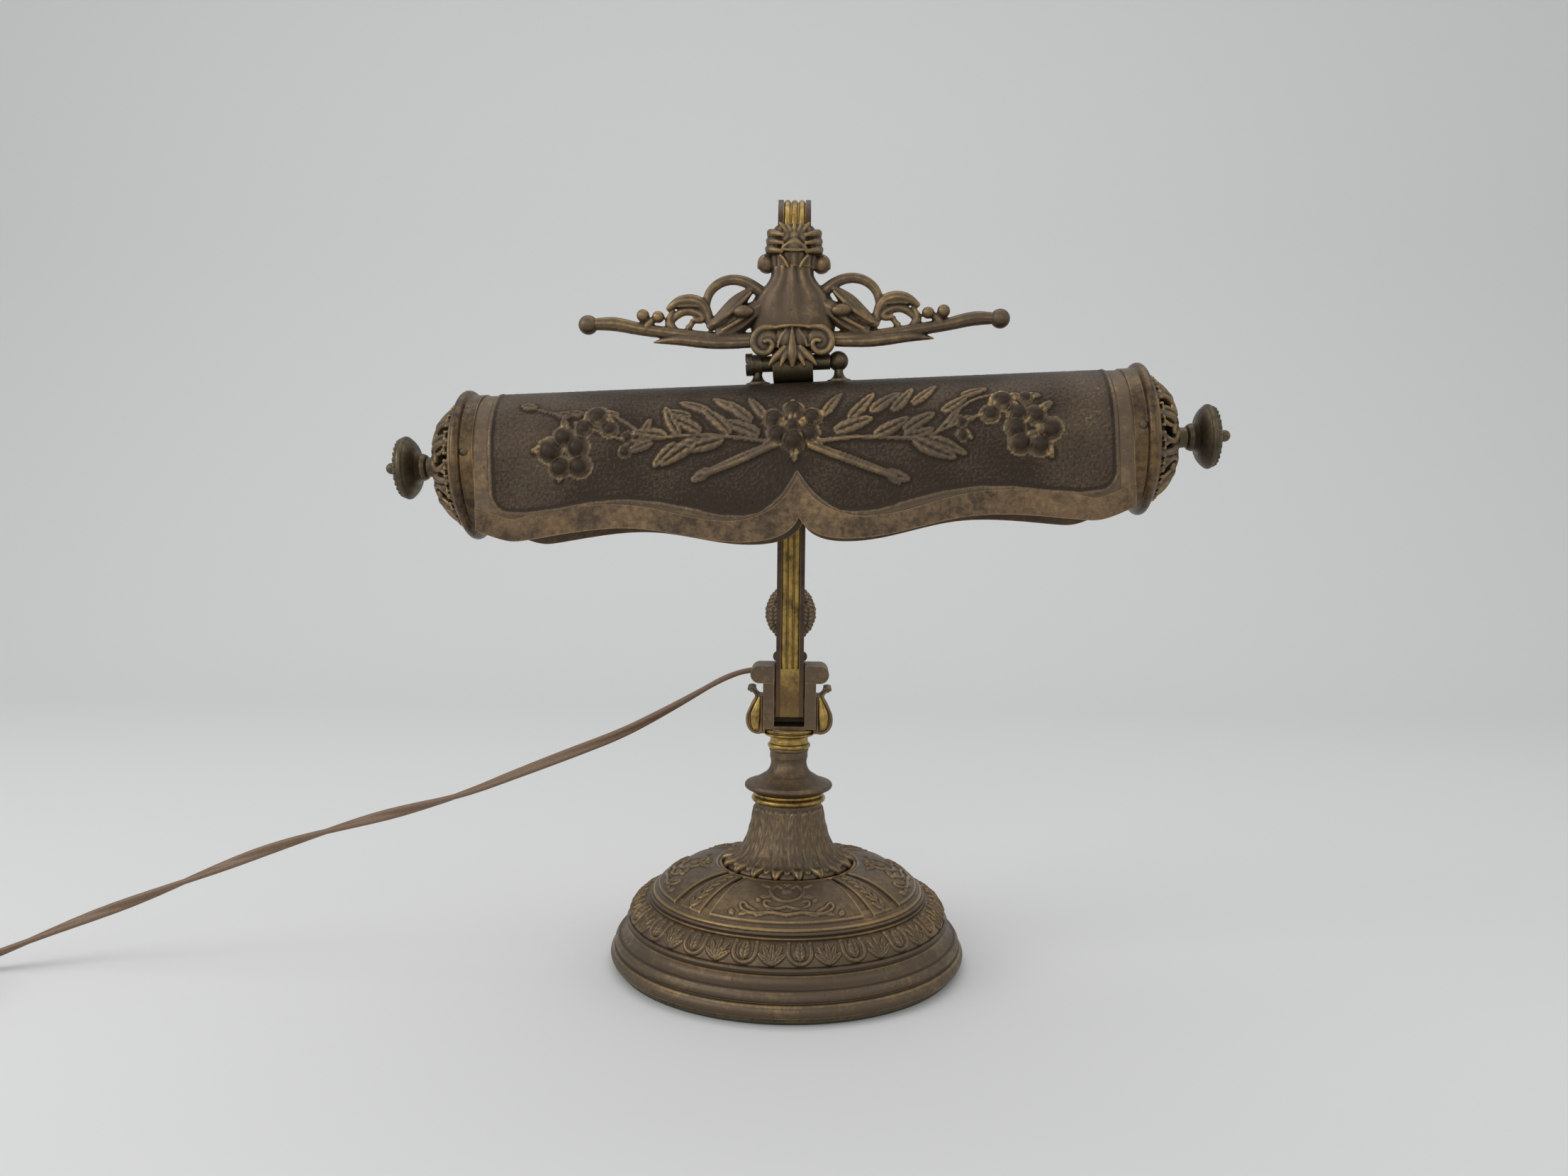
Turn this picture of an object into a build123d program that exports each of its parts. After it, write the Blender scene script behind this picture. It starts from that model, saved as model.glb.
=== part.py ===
from build123d import *
import math
import os

os.makedirs("parts", exist_ok=True)

# Antique desk lamp. Origin under the centre of the foot, front towards -Y, right towards +X

# Clearances
run_gap = 0.05
side_gap = 0.1
rest_gap = 0.3

# Foot
base_radius = 90.0
felt_thick = 1.6
felt_inset = 4.0
plate_thick = 1.8
plate_inset = 2.5
shell_wall = 2.8
foot_bead_top = 9.2
step_bead_top = 14.8
cavetto_top = 20.6
frieze_low = 23.6
frieze_high = 32.6
frieze_width = 10.0
double_ring_top = 36.0
dome_top = 49.0
dome_bow = 4.2
channel_depth = 0.9
channel_angle = 4.6
narrow_panel_angle = 12.5
weight_height = 20.6
weight_bore = 16.0
post_circle = 58.0
post_radius = 4.5
post_count = 3
screw_radius = 1.6
screw_head_radius = 3.2
screw_length = 12.0

# Column
rod_radius = 4.5
rod_nut_flats = 14.0
rod_nut_height = 6.0
rod_washer_radius = 9.0
rod_washer_thick = 1.6
boss_radius = 13.0
boss_height = 9.0
cone_foot_radius = 32.0
cone_waist_radius = 20.4
cone_top_radius = 16.5
cone_height = 33.0
cone_ring_radius = 17.6
cone_ring_height = 5.0
flange_radius = 22.4
neck_height = 22.2
neck_radius = 9.6
neck_ring_radius = 10.9
neck_ring_height = 2.7
sleeve_height = 3.8
tenon_radius = 7.5

# Fork with its pivot
collar_radius = 11.4
collar_height = 3.8
cheek_half_width = 13.4
cheek_front = 7.0
cheek_back = 12.0
cup_depth = 1.4
slot_gap = 0.7
back_wall = 3.0
roll_height = 9.0
roll_length = 39.6
roll_rise = 15.5
roll_front = 8.0
ear_front = 5.0
ear_depth = 12.0
pivot_rise = 12.5
pivot_radius = 2.5
pivot_half_length = 17.4
pivot_washer_radius = 4.4
pivot_washer_thick = 0.5

# Arm
arm_width = 14.0
arm_depth = 10.0
arm_tail = 7.3
arm_top = 365.0
arm_reach = 90.0
rear_bend = 46.0
front_bend = 13.0
arm_end = 333.0
plain_foot = 18.0
reed_channel_width = 9.6
reed_channel_depth = 1.2
reed_radius = 1.45
reed_count = 3
reed_spacing = 3.1
duct_width = 6.5
duct_depth = 4.5
lead_radius = 1.5

# Tail behind the arm
tail_rise = 23.2
tail_radius = 2.4
tail_leaf_width = 17.6
tail_leaf_thick = 2.6
tail_leaf_height = 5.2
bud_back = 29.0
bud_radius = 12.6
bud_half_height = 13.6
bud_rise = 43.8

# Bracket over the shade
cup_radius = 9.9
cup_height = 16.0
cup_slack = 0.2
side_bud_radius = 3.5
side_bud_reach = 12.4
side_bud_rise = 5.1
bracket_yaw = 1.75
bracket_roll = 1.2
bracket_thick = 4.6
bracket_low = 300.0
tip_ball_radius = 4.2
tip_ball_reach = 88.3
tip_ball_rise = 11.0
tip_flat_reach = 84.6
berry_radius = 2.3
palmette_thick = 2.8
palmette_front = 11.7

# Hinge over the shade
hinge_height = 293.5
knuckle_half_width = 8.5
knuckle_radius = 8.5
hinge_pin_radius = 1.8
hinge_head_radius = 4.8
hinge_head_thick = 2.8
spacer_radius = 3.4
left_eye_inner = 13.3
left_eye_outer = 17.3
left_eye_radius = 4.2
right_ball_reach = 19.5
right_ball_radius = 4.3
foot_flare_radius = 5.2
post_neck_radius = 1.9

# Shade
shade_yaw = 1.75
shade_roll = 2.8
shade_pitch = -2.7
shade_drop = 38.5
shade_shift = 2.5
shade_radius = 29.4
shade_wall = 1.0
shade_length = 288.0
band_width = 9.5
band_thick = 0.6
rim_band_width = 9.6
rim_band_thick = 0.6
notch_shift = -1.5
flange_ring_radius = 32.2
flange_ring_thick = 3.6
flange_inner_radius = 24.5
cap_radius = 26.6
cap_height = 12.6
cap_wall = 1.2
cap_holes = 10
cap_hole_circle = 17.0
rivet_radius = 1.75
rivet_rise = 3.0
rivet_shank = 0.9
finial_radius = 13.6
tip_radius = 2.5
finial_stud_radius = 2.0
finial_nut_flats = 7.0
finial_nut_thick = 3.0

# Light inside the shade
switch_radius = 12.0
switch_length = 16.0
switch_back_gap = 5.4
nipple_radius = 5.0
socket_radius = 15.2
socket_wall = 0.6
socket_length = 50.0
insert_radius = 14.0
insert_wall = 0.7
insert_length = 26.0
bulb_cap_radius = 13.1
bulb_radius = 15.8
bulb_length = 136.0

# Cord, coil and plug
cord_width = 5.6
coil_turns_in = 3.5
coil_turns_out = 3.25
coil_radius = 40.9
coil_pitch = 6.2
coil_layer = 6.15
coil_tail = 30.0
relief_length = 16.0
plug_length = 30.0
plug_width = 26.0
blade_length = 17.0
blade_width = 6.3
blade_thick = 1.5
blade_spacing = 12.7

# Heights that follow from the sizes above
shell_low = felt_thick + plate_thick
cone_low = dome_top
cone_top = cone_low + cone_height
ring_top = cone_top + cone_ring_height
neck_top = ring_top + neck_height
neck_ring_top = neck_top + neck_ring_height
collar_low = neck_ring_top + sleeve_height
fork_floor = collar_low + collar_height
pivot_height = fork_floor + pivot_rise
slot_half = arm_width / 2 + slot_gap
roll_height_centre = pivot_height + roll_rise
bore_radius = rod_radius + run_gap


# A closed face through (radius, height) points. A third value bows the line that leads to its
# point: outwards when positive, if the outline climbs on its outside
def turned_face(*points):
    with BuildSketch() as face:
        with BuildLine():
            for start, end in zip(points[-1:] + points[:-1], points):
                if len(end) == 3:
                    SagittaArc(start[:2], end[:2], -end[2])
                else:
                    Line(start[:2], end)
        make_face()
    return face.sketch


# Felt pad
with BuildPart() as felt_pad:
    Cylinder(base_radius - felt_inset, felt_thick, align=(Align.CENTER, Align.CENTER, Align.MIN))
felt_pad.part.label = "felt_pad"
export_step(felt_pad.part, "parts/felt_pad.step")

# Bottom plate with its countersunk holes
with BuildPart() as bottom_plate:
    with BuildSketch(Plane.XY.offset(felt_thick)):
        Circle(base_radius - plate_inset)
    extrude(amount=plate_thick)
    with Locations(Plane.XY.offset(felt_thick).rotated((180, 0, 0))):
        with PolarLocations(post_circle, post_count, start_angle=90):
            CounterSinkHole(screw_radius + side_gap, screw_head_radius + side_gap, plate_thick)
bottom_plate.part.label = "bottom_plate"
export_step(bottom_plate.part, "parts/bottom_plate.step")

# Three countersunk screws that hold the plate
screw_face = turned_face(
    (0, felt_thick),
    (screw_head_radius, felt_thick),
    (screw_radius, felt_thick + screw_head_radius - screw_radius),
    (screw_radius, felt_thick + screw_length),
    (0, felt_thick + screw_length),
)
with BuildPart() as plate_screws:
    with BuildSketch(Plane.XZ):
        add(screw_face)
    one_screw = revolve(axis=Axis.Z, mode=Mode.PRIVATE)
    with PolarLocations(post_circle, post_count, start_angle=-90):
        add(one_screw)
plate_screws.part.label = "plate_screws"
export_step(plate_screws.part, "parts/plate_screws.step")

# Iron weight that stands on the plate
with BuildPart() as base_weight:
    with BuildSketch(Plane.XY.offset(shell_low)):
        Circle(post_circle - post_radius - 1.5)
        Circle(weight_bore, mode=Mode.SUBTRACT)
    extrude(amount=weight_height)
    chamfer(base_weight.edges().group_by(Axis.Z)[-1], 1.5)
base_weight.part.label = "base_weight"
export_step(base_weight.part, "parts/base_weight.step")

# Cast shell of the foot: beads, cavetto, frieze, double ring and dome
frieze_top_radius = base_radius - 10.0 - frieze_width
shell_face = turned_face(
    (base_radius - 1.5, shell_low),
    (base_radius - 1.5, foot_bead_top, 1.5),
    (base_radius - 3.0, foot_bead_top + 0.6),
    (base_radius - 3.6, step_bead_top, 1.1),
    (base_radius - 5.5, step_bead_top + 0.4),
    (base_radius - 9.2, cavetto_top, -1.2),
    (base_radius - 9.2, frieze_low - 0.2, 1.0),
    (base_radius - 10.0, frieze_low),
    (frieze_top_radius, frieze_high, 2.6),
    (frieze_top_radius - 0.4, frieze_high + 0.2),
    (frieze_top_radius - 0.6, frieze_high + 1.7, 0.8),
    (frieze_top_radius - 1.2, double_ring_top, 0.8),
    (cone_foot_radius, dome_top, dome_bow),
    (bore_radius, dome_top),
    (bore_radius, dome_top - boss_height),
    (boss_radius, dome_top - boss_height),
    (boss_radius, dome_top - shell_wall),
    (cone_foot_radius - 2.0, dome_top - shell_wall),
    (frieze_top_radius - shell_wall - 1.0, double_ring_top - shell_wall, -dome_bow),
    (frieze_top_radius - shell_wall, frieze_high - shell_wall),
    (base_radius - 10.0 - shell_wall, frieze_low - 1.0),
    (base_radius - 9.2 - shell_wall, cavetto_top - 0.5),
    (base_radius - 3.6 - shell_wall, foot_bead_top),
    (base_radius - 3.6 - shell_wall, shell_low),
)
dome_skin = turned_face(
    (frieze_top_radius - 2.6, double_ring_top + 0.8),
    (cone_foot_radius + 1.0, dome_top + 0.1, dome_bow),
    (cone_foot_radius + 1.0, dome_top - channel_depth),
    (frieze_top_radius - 3.0, double_ring_top + 0.8, -dome_bow),
)
post_top = dome_top - boss_height + 0.5
with BuildPart() as base_shell:
    with BuildSketch(Plane.XZ):
        add(shell_face)
    revolve(axis=Axis.Z)
    with BuildSketch(Plane.XY.offset(shell_low)):
        with PolarLocations(post_circle, post_count, start_angle=-90):
            Circle(post_radius)
    extrude(amount=post_top - shell_low)
    with BuildSketch(Plane.XY.offset(shell_low)):
        with PolarLocations(post_circle, post_count, start_angle=-90):
            Circle(screw_radius + run_gap)
    extrude(amount=screw_length, mode=Mode.SUBTRACT)
    with BuildSketch(Plane.XZ):
        add(dome_skin)
    channel = revolve(axis=Axis.Z, revolution_arc=channel_angle, mode=Mode.PRIVATE)
    for side in (-1, 1):
        middle = 45 + side * (narrow_panel_angle + channel_angle) / 2
        with PolarLocations(0, 4, start_angle=middle - channel_angle / 2):
            add(channel, mode=Mode.SUBTRACT)
base_shell.part.label = "base_shell"
export_step(base_shell.part, "parts/base_shell.step")

# Tie rod from under the dome up into the fork, with its washer and nut
rod_low = dome_top - boss_height - rod_washer_thick - rod_nut_height - 2.0
rod_top = fork_floor - 2.0
with BuildPart() as tie_rod:
    with BuildSketch(Plane.XY.offset(rod_low)):
        Circle(rod_radius)
    extrude(amount=rod_top - rod_low)
    chamfer(tie_rod.edges(), 0.8)
tie_rod.part.label = "tie_rod"
export_step(tie_rod.part, "parts/tie_rod.step")

washer_low = dome_top - boss_height - rod_washer_thick
with BuildPart() as rod_washer:
    with BuildSketch(Plane.XY.offset(washer_low)):
        Circle(rod_washer_radius)
        Circle(bore_radius, mode=Mode.SUBTRACT)
    extrude(amount=rod_washer_thick)
rod_washer.part.label = "rod_washer"
export_step(rod_washer.part, "parts/rod_washer.step")

with BuildPart() as rod_nut:
    with BuildSketch(Plane.XY.offset(washer_low - rod_nut_height)):
        RegularPolygon(rod_nut_flats / 2, 6, major_radius=False)
        Circle(bore_radius, mode=Mode.SUBTRACT)
    extrude(amount=rod_nut_height)
rod_nut.part.label = "rod_nut"
export_step(rod_nut.part, "parts/rod_nut.step")

# Leaf cone on the dome
with BuildPart() as leaf_cone:
    with BuildSketch(Plane.XZ):
        add(turned_face(
            (cone_foot_radius, cone_low),
            (cone_foot_radius - 1.2, cone_low + 2.4, 0.6),
            (cone_waist_radius, cone_low + 12.5, -1.6),
            (cone_top_radius, cone_top, -0.8),
            (bore_radius, cone_top),
            (bore_radius, cone_top - 4.0),
            (cone_top_radius - 4.0, cone_top - 4.0),
            (cone_waist_radius - 4.4, cone_low + 12.0),
            (cone_foot_radius - 5.0, cone_low + 2.0),
            (cone_foot_radius - 5.0, cone_low),
        ))
    revolve(axis=Axis.Z)
leaf_cone.part.label = "leaf_cone"
export_step(leaf_cone.part, "parts/leaf_cone.step")

# Plain gold ring of two beads on the cone
with BuildPart() as cone_ring:
    with BuildSketch(Plane.XZ):
        add(turned_face(
            (bore_radius, cone_top),
            (cone_ring_radius, cone_top),
            (cone_ring_radius, cone_top + 2.7, 1.3),
            (cone_ring_radius - 0.6, cone_top + 2.9),
            (cone_ring_radius - 0.6, ring_top, 1.0),
            (bore_radius, ring_top),
        ))
    revolve(axis=Axis.Z)
cone_ring.part.label = "cone_ring"
export_step(cone_ring.part, "parts/cone_ring.step")

# Turned neck with its wide lens-shaped flange
with BuildPart() as vase_neck:
    with BuildSketch(Plane.XZ):
        add(turned_face(
            (bore_radius, ring_top),
            (cone_ring_radius - 1.0, ring_top),
            (flange_radius - 0.8, ring_top + 1.6, 0.3),
            (flange_radius - 0.8, ring_top + 4.4, 0.8),
            (neck_radius + 3.9, ring_top + 8.2, -0.4),
            (neck_radius, ring_top + 17.5, -2.0),
            (neck_radius, neck_top - 1.8),
            (neck_radius + 0.3, neck_top, 0.3),
            (bore_radius, neck_top),
        ))
    revolve(axis=Axis.Z)
vase_neck.part.label = "vase_neck"
export_step(vase_neck.part, "parts/vase_neck.step")

# Gold ring on the neck
with BuildPart() as neck_ring:
    with BuildSketch(Plane.XZ):
        add(turned_face(
            (tenon_radius + run_gap, neck_top),
            (neck_ring_radius - 1.0, neck_top),
            (neck_ring_radius - 1.0, neck_ring_top, 1.0),
            (tenon_radius + run_gap, neck_ring_top),
        ))
    revolve(axis=Axis.Z)
neck_ring.part.label = "neck_ring"
export_step(neck_ring.part, "parts/neck_ring.step")

# Sleeve that widens from the ring to the fork's collar
with BuildPart() as neck_sleeve:
    with BuildSketch(Plane.XZ):
        add(turned_face(
            (tenon_radius + run_gap, neck_ring_top),
            (neck_ring_radius - 1.2, neck_ring_top),
            (neck_ring_radius - 1.2, neck_ring_top + 1.2),
            (collar_radius - 1.0, collar_low, -0.4),
            (tenon_radius + run_gap, collar_low),
        ))
    revolve(axis=Axis.Z)
neck_sleeve.part.label = "neck_sleeve"
export_step(neck_sleeve.part, "parts/neck_sleeve.step")

# Lyre fork: tenon, collar with its cup, two cheeks, two ears, rear wall and the roll behind the arm
ear_base = collar_low + 1.3
with BuildPart() as fork:
    with BuildSketch(Plane.XY.offset(neck_top)):
        Circle(tenon_radius)
    extrude(amount=collar_low - neck_top)
    with BuildSketch(Plane.XZ):
        add(turned_face(
            (0, collar_low),
            (collar_radius - 0.6, collar_low),
            (collar_radius - 0.6, fork_floor, 0.6),
            (0, fork_floor),
        ))
    revolve(axis=Axis.Z)
    with BuildSketch(Plane.XY.offset(fork_floor)):
        with Locations((0, (cheek_back - cheek_front) / 2)):
            Rectangle(2 * cheek_half_width, cheek_back + cheek_front)
    extrude(amount=roll_height_centre - fork_floor)
    with BuildSketch(Plane.XZ.offset(roll_front)):
        with Locations((0, roll_height_centre)):
            SlotOverall(roll_length, roll_height)
    extrude(amount=-(roll_front + cheek_back))
    with BuildSketch(Plane.XZ.offset(ear_front)):
        add(turned_face(
            (cheek_half_width - 1.0, ear_base),
            (cheek_half_width + 3.0, ear_base),
            (cheek_half_width + 8.2, ear_base + 8.6, 2.4),
            (cheek_half_width + 4.0, ear_base + 17.6, 0.5),
            (cheek_half_width + 4.8, ear_base + 20.8, -0.6),
            (cheek_half_width + 7.0, ear_base + 21.8, -0.3),
            (cheek_half_width + 7.0, ear_base + 23.6, 0.9),
            (cheek_half_width + 3.8, ear_base + 23.2, 0.4),
            (cheek_half_width + 1.6, ear_base + 19.4, -0.8),
            (cheek_half_width - 1.0, ear_base + 19.4),
        ))
        mirror(about=Plane.YZ)
    extrude(amount=-ear_depth)
    # Slot for the arm: open to the front and the top, closed behind by the rear wall
    with BuildSketch(Plane.XY.offset(fork_floor + cup_depth)):
        with Locations((0, (cheek_back - back_wall - 2 * roll_front) / 2)):
            Rectangle(2 * slot_half, cheek_back - back_wall + 2 * roll_front)
    extrude(amount=roll_height_centre - roll_height / 2 - fork_floor - cup_depth, mode=Mode.SUBTRACT)
    with BuildSketch(Plane.XY.offset(roll_height_centre - roll_height)):
        with Locations((0, arm_depth / 2 + rest_gap)):
            Rectangle(2 * slot_half, 2 * roll_front + arm_depth, align=(Align.CENTER, Align.MAX))
    extrude(amount=2 * roll_height, mode=Mode.SUBTRACT)
    # Cup under the arm, pivot bore and the thread bore of the tie rod
    with BuildSketch(Plane.XY.offset(fork_floor + cup_depth)):
        Circle(slot_half + 1.2)
    extrude(amount=4.0, mode=Mode.SUBTRACT)
    with BuildSketch(Plane.YZ):
        with Locations((0, pivot_height)):
            Circle(pivot_radius + run_gap)
    extrude(amount=pivot_half_length + 0.4, both=True, mode=Mode.SUBTRACT)
    with BuildSketch(Plane.XY.offset(neck_top)):
        Circle(bore_radius)
    extrude(amount=rod_top - neck_top, mode=Mode.SUBTRACT)
fork.part.label = "fork"
export_step(fork.part, "parts/fork.step")

# Pivot pin with a driver slot in each end
with BuildPart() as pivot_pin:
    with BuildSketch(Plane.YZ):
        with Locations((0, pivot_height)):
            Circle(pivot_radius)
    extrude(amount=pivot_half_length, both=True)
    with Locations((pivot_half_length, 0, pivot_height), (-pivot_half_length, 0, pivot_height)):
        Box(1.6, 2 * pivot_radius + 1.0, 0.8, mode=Mode.SUBTRACT)
pivot_pin.part.label = "pivot_pin"
export_step(pivot_pin.part, "parts/pivot_pin.step")

# Friction washers between the arm and the cheeks
with BuildPart() as friction_washers:
    for side in (-1, 1):
        with BuildSketch(Plane.YZ.offset(side * (arm_width / 2 + side_gap))):
            with Locations((0, pivot_height)):
                Circle(pivot_washer_radius)
                Circle(pivot_radius + run_gap, mode=Mode.SUBTRACT)
        extrude(amount=side * pivot_washer_thick)
friction_washers.part.label = "friction_washers"
export_step(friction_washers.part, "parts/friction_washers.step")

# Bushing behind the roll, where the cord comes out to the left
cord_exit = Vector(-6.0, cheek_back + cord_width / 2 + 0.4, pivot_height + 15.4)
bushing_length = 11.0
with BuildPart() as cord_bushing:
    with BuildSketch(Plane.YZ.offset(cord_exit.X)):
        with Locations((cheek_back, cord_exit.Z)):
            Rectangle(2 * (cord_exit.Y - cheek_back), cord_width + 2.8, align=(Align.MIN, Align.CENTER))
    extrude(amount=bushing_length)
    fillet(cord_bushing.edges().filter_by(Axis.X).group_by(Axis.Y)[-1], 1.2)
cord_bushing.part.label = "cord_bushing"
export_step(cord_bushing.part, "parts/cord_bushing.step")

# Arm: plain foot in the fork, then a reeded bar that rises and bends over to the front
arm_crown = arm_top - arm_depth / 2
arm_foot = pivot_height - arm_tail
reed_start = arm_foot + plain_foot + arm_tail


# Centre line of the arm from the height where it starts
def arm_line(start_height):
    rear_top = arm_crown - rear_bend
    front_top = arm_crown - front_bend
    with BuildLine(Plane.YZ) as line:
        Line((0, start_height), (0, rear_top))
        RadiusArc((0, rear_top), (-rear_bend, arm_crown), -rear_bend)
        Line((-rear_bend, arm_crown), (front_bend - arm_reach, arm_crown))
        RadiusArc((front_bend - arm_reach, arm_crown), (-arm_reach, front_top), -front_bend)
        Line((-arm_reach, front_top), (-arm_reach, arm_end))
    return line.wire()


with BuildPart() as arm:
    with BuildSketch(Plane.XY.offset(reed_start)):
        Rectangle(arm_width, arm_depth)
        for side in (-1, 1):
            with Locations((0, side * arm_depth / 2)):
                Rectangle(reed_channel_width, 2 * reed_channel_depth, mode=Mode.SUBTRACT)
            with Locations((0, side * (arm_depth / 2 - reed_radius))):
                with GridLocations(reed_spacing, 0, reed_count, 1):
                    Circle(reed_radius)
        Rectangle(duct_width, duct_depth, mode=Mode.SUBTRACT)
    sweep(path=arm_line(reed_start))
    with BuildSketch(Plane.YZ.offset(-arm_width / 2)):
        with Locations((0, arm_foot)):
            Rectangle(arm_depth, reed_start - arm_foot, align=(Align.CENTER, Align.MIN))
    extrude(amount=arm_width)
    chamfer(arm.edges().filter_by(Axis.X).group_by(Axis.Z)[0], 0.8)
    with BuildSketch(Plane.XY.offset(pivot_height + 2 * pivot_radius)):
        Rectangle(duct_width, duct_depth)
    extrude(amount=reed_start - pivot_height, mode=Mode.SUBTRACT)
    with BuildSketch(Plane.YZ):
        with Locations((0, pivot_height)):
            Circle(pivot_radius + run_gap)
    extrude(amount=arm_width, both=True, mode=Mode.SUBTRACT)
arm.part.label = "arm"
export_step(arm.part, "parts/arm.step")

# Lead wire inside the arm
with BuildPart() as arm_lead:
    with BuildSketch(Plane.XY.offset(reed_start)):
        Circle(lead_radius)
    sweep(path=arm_line(reed_start))
arm_lead.part.label = "arm_lead"
export_step(arm_lead.part, "parts/arm_lead.step")

# Tail: a leaf on the back of the arm and a stem that bends up into the bud
tail_height = pivot_height + tail_rise
bud_height = pivot_height + bud_rise
bud_low = bud_height - bud_half_height + 0.4
with BuildPart() as tail_stem:
    with BuildSketch(Plane.XZ.offset(-arm_depth / 2)):
        with Locations((0, tail_height)):
            SlotOverall(tail_leaf_width, tail_leaf_height)
    extrude(amount=-tail_leaf_thick)
    with BuildSketch(Plane.XZ.offset(-arm_depth / 2)):
        with Locations((0, tail_height)):
            Circle(tail_radius)
    with BuildLine(Plane.YZ):
        stem_start = (arm_depth / 2, tail_height)
        stem_bend = (bud_back - (bud_low - tail_height), tail_height)
        Line(stem_start, stem_bend)
        RadiusArc(stem_bend, (bud_back, bud_low), -(bud_low - tail_height))
    sweep()
tail_stem.part.label = "tail_stem"
export_step(tail_stem.part, "parts/tail_stem.step")

# Oval bud on the stem
with BuildPart() as rear_bud:
    with BuildSketch(Plane.XZ.offset(-bud_back)):
        with Locations((0, bud_height)):
            Ellipse(bud_radius, bud_half_height)
            Rectangle(bud_radius, 2 * bud_half_height, align=(Align.MAX, Align.CENTER), mode=Mode.SUBTRACT)
            with Locations((0, -bud_half_height)):
                Rectangle(bud_radius, 0.8, mode=Mode.SUBTRACT)
    revolve(axis=Axis((0, bud_back, 0), (0, 0, 1)))
rear_bud.part.label = "rear_bud"
export_step(rear_bud.part, "parts/rear_bud.step")

# Leaf cup round the end of the arm, with a bud on each side
cup_low = arm_end
with BuildPart() as leaf_cup:
    with BuildSketch(Plane.XZ.offset(arm_reach)):
        add(turned_face(
            (0, cup_low),
            (cup_radius - 0.4, cup_low),
            (cup_radius - 0.7, cup_low + 4.0, -0.15),
            (cup_radius, cup_low + 9.0, 0.15),
            (cup_radius - 0.2, cup_low + 13.0, 0.3),
            (cup_radius - 1.0, cup_low + cup_height, 0.3),
            (0, cup_low + cup_height),
        ))
    revolve(axis=Axis((0, -arm_reach, 0), (0, 0, 1)))
    bud_origin = (0, -arm_reach, cup_low + side_bud_rise)
    for side in (-1, 1):
        with BuildSketch(Plane(origin=bud_origin, x_dir=(side, 0, 0), z_dir=(0, -side, 0))):
            with BuildLine():
                ball_arc = CenterArc((side_bud_reach, 0), side_bud_radius, 0, 150)
                Polyline(ball_arc @ 1, (0, side_bud_radius / 2), (0, 0), ball_arc @ 0)
            make_face()
        revolve(axis=Axis(bud_origin, (1, 0, 0)))
    with BuildSketch(Plane.XY.offset(cup_low)):
        with Locations((0, -arm_reach)):
            Rectangle(arm_width, arm_depth + 2 * cup_slack)
    extrude(amount=cup_height, mode=Mode.SUBTRACT)
leaf_cup.part.label = "leaf_cup"
export_step(leaf_cup.part, "parts/leaf_cup.step")

# Bracket: bell body with two pierced scroll arms, turned and rolled a little off square
yaw = math.radians(bracket_yaw)
roll = math.radians(bracket_roll)
bracket_x = Vector(math.cos(yaw) * math.cos(roll), -math.sin(yaw) * math.cos(roll), math.sin(roll))
bracket_y = Vector(math.sin(yaw), math.cos(yaw), 0)
bracket_plane = Plane(origin=(0, -arm_reach, bracket_low), x_dir=bracket_x, z_dir=bracket_y * -1)

# Outline of one scroll bar, from the bell out to the tip ball, heights over the lower edge
bar_outline = [
    (8.0, 0.4), (37.0, -0.4), (50.0, 1.6), (58.5, 1.8), (57.2, 5.0), (67.0, 8.2), (78.0, 10.2),
    (tip_flat_reach, 9.6), (tip_flat_reach, 12.8), (78.0, 14.4), (66.0, 12.0), (56.0, 10.6), (47.0, 11.8), (38.0, 13.4),
    (26.0, 12.0), (8.0, 12.0),
]
with BuildPart() as bracket:
    with BuildSketch(bracket_plane):
        with BuildLine():
            Polyline(bar_outline, close=True)
        make_face()
        with Locations((28.4, 20.2)):
            Ellipse(11.6, 8.2, rotation=145)
        with Locations((47.4, 17.6)):
            Ellipse(5.2, 4.4)
        with Locations((44.6, 13.0)):
            Ellipse(5.4, 3.0)
        with Locations((59.6, 13.4), (66.2, 15.2)):
            Circle(berry_radius)
        with Locations((62.6, 12.2)):
            Ellipse(5.4, 1.6, rotation=15)
        mirror(about=Plane.YZ)
        # Holes of the loops, the leaf curls and the gaps beside the bell
        for side in (-1, 1):
            with Locations((side * 28.4, 20.2)):
                Ellipse(6.6, 3.1, rotation=90 + side * 55, mode=Mode.SUBTRACT)
            with Locations((side * 44.8, 10.4)):
                Ellipse(2.4, 1.3, mode=Mode.SUBTRACT)
            with Locations((side * 47.6, 18.4)):
                Circle(1.2, mode=Mode.SUBTRACT)
    extrude(amount=bracket_thick / 2, both=True)
    # Bell body, oval in plan, from the cup down to the lower edge
    bell_rings = [(0.0, 18.6, 7.4), (7.0, 17.4, 7.6), (17.0, 12.8, 7.2), (26.0, 10.0, 6.6)]
    bell_rings.append((cup_low - bracket_low, 9.3, 7.6))
    for height, half_width, half_depth in bell_rings:
        with BuildSketch(Plane.XY.offset(bracket_low + height)):
            with Locations((0, -arm_reach)):
                Ellipse(half_width, half_depth)
    loft()
bracket.part.label = "bracket"
export_step(bracket.part, "parts/bracket.step")

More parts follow.
